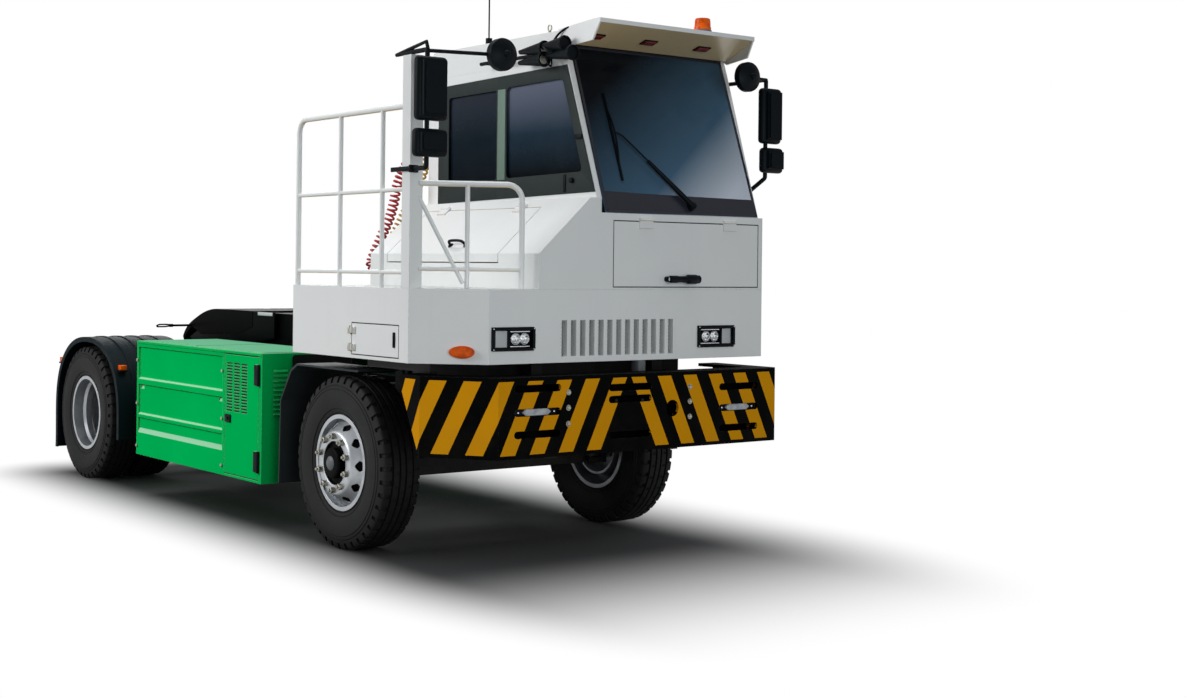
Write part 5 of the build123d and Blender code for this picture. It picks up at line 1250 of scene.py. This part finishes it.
# Amber lamps, marker lamps and their bezels
BEACON_FOOT = (2.785, 0.825, 3.25)
dome = [(TIP, 0.121), (0.04, 0.121), (0.048, 0.116), (0.0508, 0.104)]
dome += [(0.0525, 0.066), (0.0555, 0.063), (0.056, 0.047), (TIP, 0.047)]
amber = [turned(dome, BEACON_FOOT, UP, 40)]
base = [(TIP, 0.0465), (0.056, 0.0465), (0.06, 0.042), (0.06, 0.018), (TIP, 0.018)]
fit([turned(base, BEACON_FOOT, UP, 40)], "beacon_base", stop_grey)
CORNER_MID = Vector((2.8122, -1.0205, 1.284))
CORNER_ALONG = Vector((0.6908, 0.7231, 0))
CORNER_OUT = Vector((0.7231, -0.6908, 0))
OVAL_STEPS = 28
oval = []
for step in range(OVAL_STEPS):
    turn = math.tau * step / OVAL_STEPS
    across = math.cos(turn) * (0.069 if math.cos(turn) > 0 else 0.08)
    oval.append(CORNER_MID + CORNER_ALONG * across + UP * (0.036 * math.sin(turn)) + CORNER_OUT * 0.0004)
amber.append(bulged(oval, CORNER_OUT, [(0.012, 0.004), (0.006, 0.006), (0.004, 0.008)]))
brackets = []
for x, inner_x, guard_x in ((-2.945, -2.882, -2.8), (-1.635, -1.694, -1.72)):
    for side in (-1, 1):
        amber.append(slab((x, side * 1.163, 0.928), (inner_x, side * 1.217, 0.967), 0.006, 3))
        brackets.append(slab((x, side * 1.157, 0.914), (guard_x, side * 1.223, 0.9275), 0.003))
fit(amber, "amber_lamp_lenses", amber_lens, stands_for=("amber_lamps",))
VISOR_RUN = Vector((1, 0, 0.304)).normalized()
VISOR_DOWN = Vector((VISOR_RUN.z, 0, -VISOR_RUN.x))
MARKER_X = 2.745
MARKER_Z = 3.1873
MARKERS_Y = (-0.015, 0.41, 0.86)


def marker_corners(y, half_run, half_y):
    """Corners of a rectangle under the visor."""
    middle = Vector((MARKER_X, y, MARKER_Z)) + VISOR_DOWN * 0.0006
    steps = ((-half_run, -half_y), (half_run, -half_y), (half_run, half_y), (-half_run, half_y))
    return [middle + VISOR_RUN * run + Vector((0, side, 0)) for run, side in steps]


markers = []
for y in MARKERS_Y:
    markers.append(bulged(marker_corners(y, 0.023, 0.046), VISOR_DOWN, [(0.01, 0.003), (0.004, 0.004)]))
    brackets.append(ring(marker_corners(y, 0.031, 0.054), 0.008, VISOR_DOWN * 0.008, 0.004))
fit(markers, "marker_lamp_lenses", red_lens)
fit(brackets, "lamp_bezels", black_plastic)


# Wheel hubs, nuts and studs, made about the origin's Y axis
STUDS = 10
STUD_RING_R = 0.1675
HOLE_TURN = 36
HOLE_R = 0.235
HOLE_OUT = 0.118


def nut_ring(start, first=0.0):
    """Hexagon nuts with their studs in a ring, from a distance along the axis and a first angle."""
    nut = [peg((STUD_RING_R, start, 0), (STUD_RING_R, start + 0.0275, 0), 0.0208, 0.0015, 6)]
    nut.append(peg((STUD_RING_R, start + 0.02, 0), (STUD_RING_R, start + 0.041, 0), 0.0095, 0.0015, 12))
    one = joined(nut)
    nuts = joined([swung(one, first + 360 / STUDS * step) for step in range(STUDS)])
    discard(one)
    return nuts


def wheel_disc():
    """The front wheel's pressed disc, which stands out past the rim, with hand holes in its cone."""
    profile = [(0.135, 0.157), (0.1365, 0.1645), (0.142, 0.167), (0.186, 0.167), (0.197, 0.163)]
    profile += [(0.205, 0.153), (HOLE_R, HOLE_OUT), (0.262, 0.08), (0.2725, 0.072)]
    piece = turned(profile, ORIGIN, LEFT, 40)
    editing()

    def at_hole(vert):
        turn = math.degrees(math.atan2(vert.co.z, vert.co.x)) % HOLE_TURN
        return abs(vert.co.y - HOLE_OUT) < 0.001 and min(turn, HOLE_TURN - turn) < 1

    pick("VERT", at_hole)
    bpy.ops.mesh.bevel(offset=0.0345, segments=4, profile=0.18, affect="VERTICES")
    turns = [math.radians(turn) for turn in range(0, 360, HOLE_TURN)]
    holes = [Vector((HOLE_R * math.cos(turn), HOLE_OUT, HOLE_R * math.sin(turn))) for turn in turns]
    pick("FACE", lambda face: min((face.calc_center_median() - hole).length for hole in holes) < 0.0295)
    bpy.ops.mesh.delete(type="FACE")
    leave_editing()
    shaped(piece, "SOLIDIFY", thickness=0.008)
    return piece


hub_shell = [(TIP, 0.1918), (0.05, 0.1918), (0.078, 0.1915), (0.089, 0.188), (0.0945, 0.181), (0.0945, 0.146)]
# The shell runs on under the disc, so the disc's hand holes show black: painted shade behind the holes
hub_shell += [(0.19, 0.146), (0.222, 0.108), (0.255, 0.066)]
hub_cap = [(TIP, 0.207), (0.024, 0.2055), (0.038, 0.2), (0.046, 0.1925), (TIP, 0.1919)]
front_hub = turned(hub_shell, ORIGIN, LEFT, 48)
front_cap = turned(hub_cap, ORIGIN, LEFT, 36)
front_nuts = nut_ring(0.1668, 18.0)
front_disc = wheel_disc()
rear_shell = [(TIP, 1.0145), (0.06, 1.0145), (0.064, 1.019), (0.104, 1.019), (0.118, 1.0145), (0.137, 1.006)]
rear_shell += [(0.1425, 0.992), (0.1425, 0.9375), (0.252, 0.9372), (0.256, 0.9364)]
rear_hub = turned(rear_shell, ORIGIN, LEFT, 56)
rear_nuts = nut_ring(0.9365)
for side_name, side in (("left", 1), ("right", -1)):
    for piece, middle_x, middle_y, label, finish, slot in (
        (front_hub, FRONT_AXLE_X, FRONT_TYRE_Y, "front_hub_shell", hub_black, "black_plastic"),
        (front_cap, FRONT_AXLE_X, FRONT_TYRE_Y, "front_hub_cap", stop_grey, "wheel_silver"),
        (front_nuts, FRONT_AXLE_X, FRONT_TYRE_Y, "front_wheel_nuts", bolt_zinc, "rod_chrome"),
        (front_disc, FRONT_AXLE_X, FRONT_TYRE_Y, "front_wheel_disc", wheel_silver, "wheel_silver"),
        (rear_hub, REAR_AXLE_X, 0.0, "rear_hub_shell", hub_black, "black_plastic"),
        (rear_nuts, REAR_AXLE_X, 0.0, "rear_wheel_nuts", hub_black, "black_plastic"),
    ):
        twin = copied(piece, (middle_x, middle_y, AXLE_Z))
        if side < 0:
            right = mirrored(twin)
            discard(twin)
            twin = right
        wheel = "front_wheel_" if label.startswith("front") else "rear_wheels_"
        fit([twin], f"{label}_{side_name}", finish, wheel + side_name)
discard(front_hub, front_cap, front_nuts, front_disc, rear_hub, rear_nuts)


# Driver's seat: pads filled out as cloth over a moulded pedestal
SEAT_X = 1.62
SEAT_Y = 0.56
PAD_TRAVEL = 0.025
PAD_FRAMES = 20


def pad(low, high, corner, channels):
    """A closed pad, swollen as cloth under pressure, held within a short travel and sewn along Y lines."""
    block = slab(low, high, corner, 3)
    piece = copied(block)
    discard(block)
    shaped(piece, "REMESH", mode="VOXEL", voxel_size=0.006)
    start = [v.co.copy() for v in piece.data.vertices]
    cloth = piece.modifiers.new("cloth", "CLOTH")
    cloth.settings.use_pressure = True
    cloth.settings.uniform_pressure_force = 4.0
    cloth.settings.effector_weights.gravity = 0.0
    cloth.settings.quality = 4
    cloth.point_cache.frame_start = 1
    cloth.point_cache.frame_end = PAD_FRAMES
    for step in range(1, PAD_FRAMES + 1):
        bpy.context.scene.frame_set(step)
    bpy.ops.object.modifier_apply(modifier="cloth")
    bpy.context.scene.frame_set(1)
    for v, before in zip(piece.data.vertices, start):
        move = v.co - before
        if move.length > PAD_TRAVEL:
            v.co = before + move * (PAD_TRAVEL / move.length)

    def sewn(face):
        across = face.calc_center_median().y - SEAT_Y
        return min(abs(across - line) for line in channels) < 0.0055

    editing()
    pick("FACE", sewn)
    bpy.ops.transform.shrink_fatten(value=-0.006)
    leave_editing()
    shaped(piece, "SUBSURF", levels=1, render_levels=1)
    return piece


cushion_low = (SEAT_X - 0.235, SEAT_Y - 0.225, 1.59)
cushion = pad(cushion_low, (SEAT_X + 0.235, SEAT_Y + 0.225, 1.66), 0.025, (-0.13, 0.13))
squab = pad((1.275, SEAT_Y - 0.21, 1.72), (1.345, SEAT_Y + 0.21, 2.22), 0.025, (-0.12, 0.12))
head_pad = pad((1.265, SEAT_Y - 0.13, 2.26), (1.32, SEAT_Y + 0.13, 2.41), 0.02, (0.0,))
seat = [cushion, squab, head_pad]
pads = fit(seat, "driver_seat_pads", seat_cloth, stands_for=("driver_seat",))
stand = [
    slab((1.39, 0.345, 1.2545), (1.85, 0.775, 1.29), 0.01),
    slab((1.45, 0.4, 1.285), (1.79, 0.72, 1.53), 0.03, 3),
    slab((1.375, 0.33, 1.525), (1.87, 0.79, 1.572), 0.012),
    slab((1.215, 0.36, 1.6), (1.258, 0.76, 2.24), 0.012),
    slab((1.235, 0.4, 1.545), (1.4, 0.72, 1.61), 0.012),
]
stand += [peg((1.275, y, 2.2), (1.285, y, 2.3), 0.008, 0.001, 12) for y in (0.5, 0.62)]
fit(stand, "driver_seat_stand", black_plastic)


# Studio: pale floor with a painted shadow pool about the vehicle, soft light and a white surround
def rays(feed):
    """Whether a ray comes from the camera, from a gloss or through glass."""
    kinds = ("Is Camera Ray", "Is Glossy Ray", "Is Transmission Ray")
    return [feed.node("ShaderNodeLightPath", None, None, kind) for kind in kinds]


def studio_floor():
    bpy.ops.mesh.primitive_plane_add(size=120)
    floor = bpy.context.object
    floor.name = "floor"
    finish, shader, at = begin("floor_white")
    out = finish.node_tree.nodes["Material Output"]
    camera_ray, glossy_ray, through_ray = rays(at)
    seen = (camera_ray + glossy_ray + through_ray).clipped()
    # The floor's grey, seen only inside the painted shadow pool
    grey = between(cloud(at, 2.0, 3.0), rgb("9a9a9a"), rgb("959595"))
    drive(shader, Base_Color=grey, Roughness=0.9, Specular_IOR_Level=0.05)
    glow = at.node("ShaderNodeEmission", None, {"Color": (1, 1, 1, 1), "Strength": 1.0})
    x, y = axis_of(at, 0), axis_of(at, 1)
    # The grey floor about the vehicle, stretched forward past the bumper, is a painted shadow pool, and the
    # vehicle's real shadow from the floor light falls in it.
    # How far a point lies past each side of that grey floor, over the width in which it fades to white
    past = [(x - 2.6, 2.6), (-2.7 - x, 1.1), (-1.05 - y, 0.95), (y - 0.9, 1.4)]
    steps = [at.math("MAXIMUM", gap, 0.0) / fade for gap, fade in past]
    squares = [step * step for step in steps]
    reach = at.math("SQRT", squares[0] + squares[1] + squares[2] + squares[3])
    far = at.node("ShaderNodeMapRange", {"interpolation_type": "SMOOTHSTEP"}, {"Value": reach})
    base = Feed(finish.node_tree, shader.outputs[0])
    mixed = at.node("ShaderNodeMixShader", None, {0: far * seen, 1: base, 2: glow})
    finish.node_tree.links.new(mixed.socket, out.inputs[0])
    floor.data.materials.append(finish)
    return floor


def soft_light(name, place, target, width, height, power, colour=(1, 1, 1), only=None, never=None):
    data = bpy.data.lights.new(name, "AREA")
    data.shape = "RECTANGLE"
    data.size = width
    data.size_y = height
    data.energy = power
    data.color = colour
    light = linked(name, data)
    light.location = place
    light.rotation_euler = (Vector(target) - Vector(place)).to_track_quat("-Z", "Y").to_euler()
    for piece, state in ((only, "INCLUDE"), (never, "EXCLUDE")):
        if piece:
            lit = bpy.data.collections.new(name + "_lit")
            lit.objects.link(piece)
            lit.collection_objects[0].light_linking.link_state = state
            light.light_linking.receiver_collection = lit


floor = studio_floor()
soft_light("key_right", (-3.5, -11.0, 6.5), (0.0, 0.0, 1.3), 7.0, 5.0, 1040, never=floor)
soft_light("top_soft", (0.0, 0.0, 10.0), (0.0, 0.0, 0.0), 9.0, 7.0, 600, never=floor)
soft_light("front_fill", (11.0, -2.0, 2.4), (1.0, 0.0, 1.5), 6.0, 4.0, 255, (0.93, 0.98, 1.0), never=floor)
soft_light("rear_fill", (-10.0, 5.0, 5.0), (-1.0, 0.0, 1.2), 6.0, 4.0, 250, never=floor)
soft_light("floor_light", (-4.5, 1.0, 11.5), (0.5, 0.0, 0.0), 5.0, 5.0, 95, only=floor)

world = bpy.data.worlds.new("white_surround")
world.use_nodes = True
bpy.context.scene.world = world
tree = world.node_tree
tree.nodes.clear()
sky_out = tree.nodes.new("ShaderNodeOutputWorld")
camera_ray, glossy_ray, through_ray = rays(Feed(tree, None))
ambient = camera_ray.node("ShaderNodeBackground", None, {"Color": (0.93, 0.96, 1.0, 1), "Strength": 0.22})
white = camera_ray.node("ShaderNodeBackground", None, {"Color": (1, 1, 1, 1), "Strength": 1.0})
seen = (camera_ray + glossy_ray * 0.18 + through_ray).clipped()
sky = camera_ray.node("ShaderNodeMixShader", None, {0: seen, 1: ambient, 2: white})
tree.links.new(sky.socket, sky_out.inputs[0])

bpy.context.scene.view_settings.view_transform = "Standard"
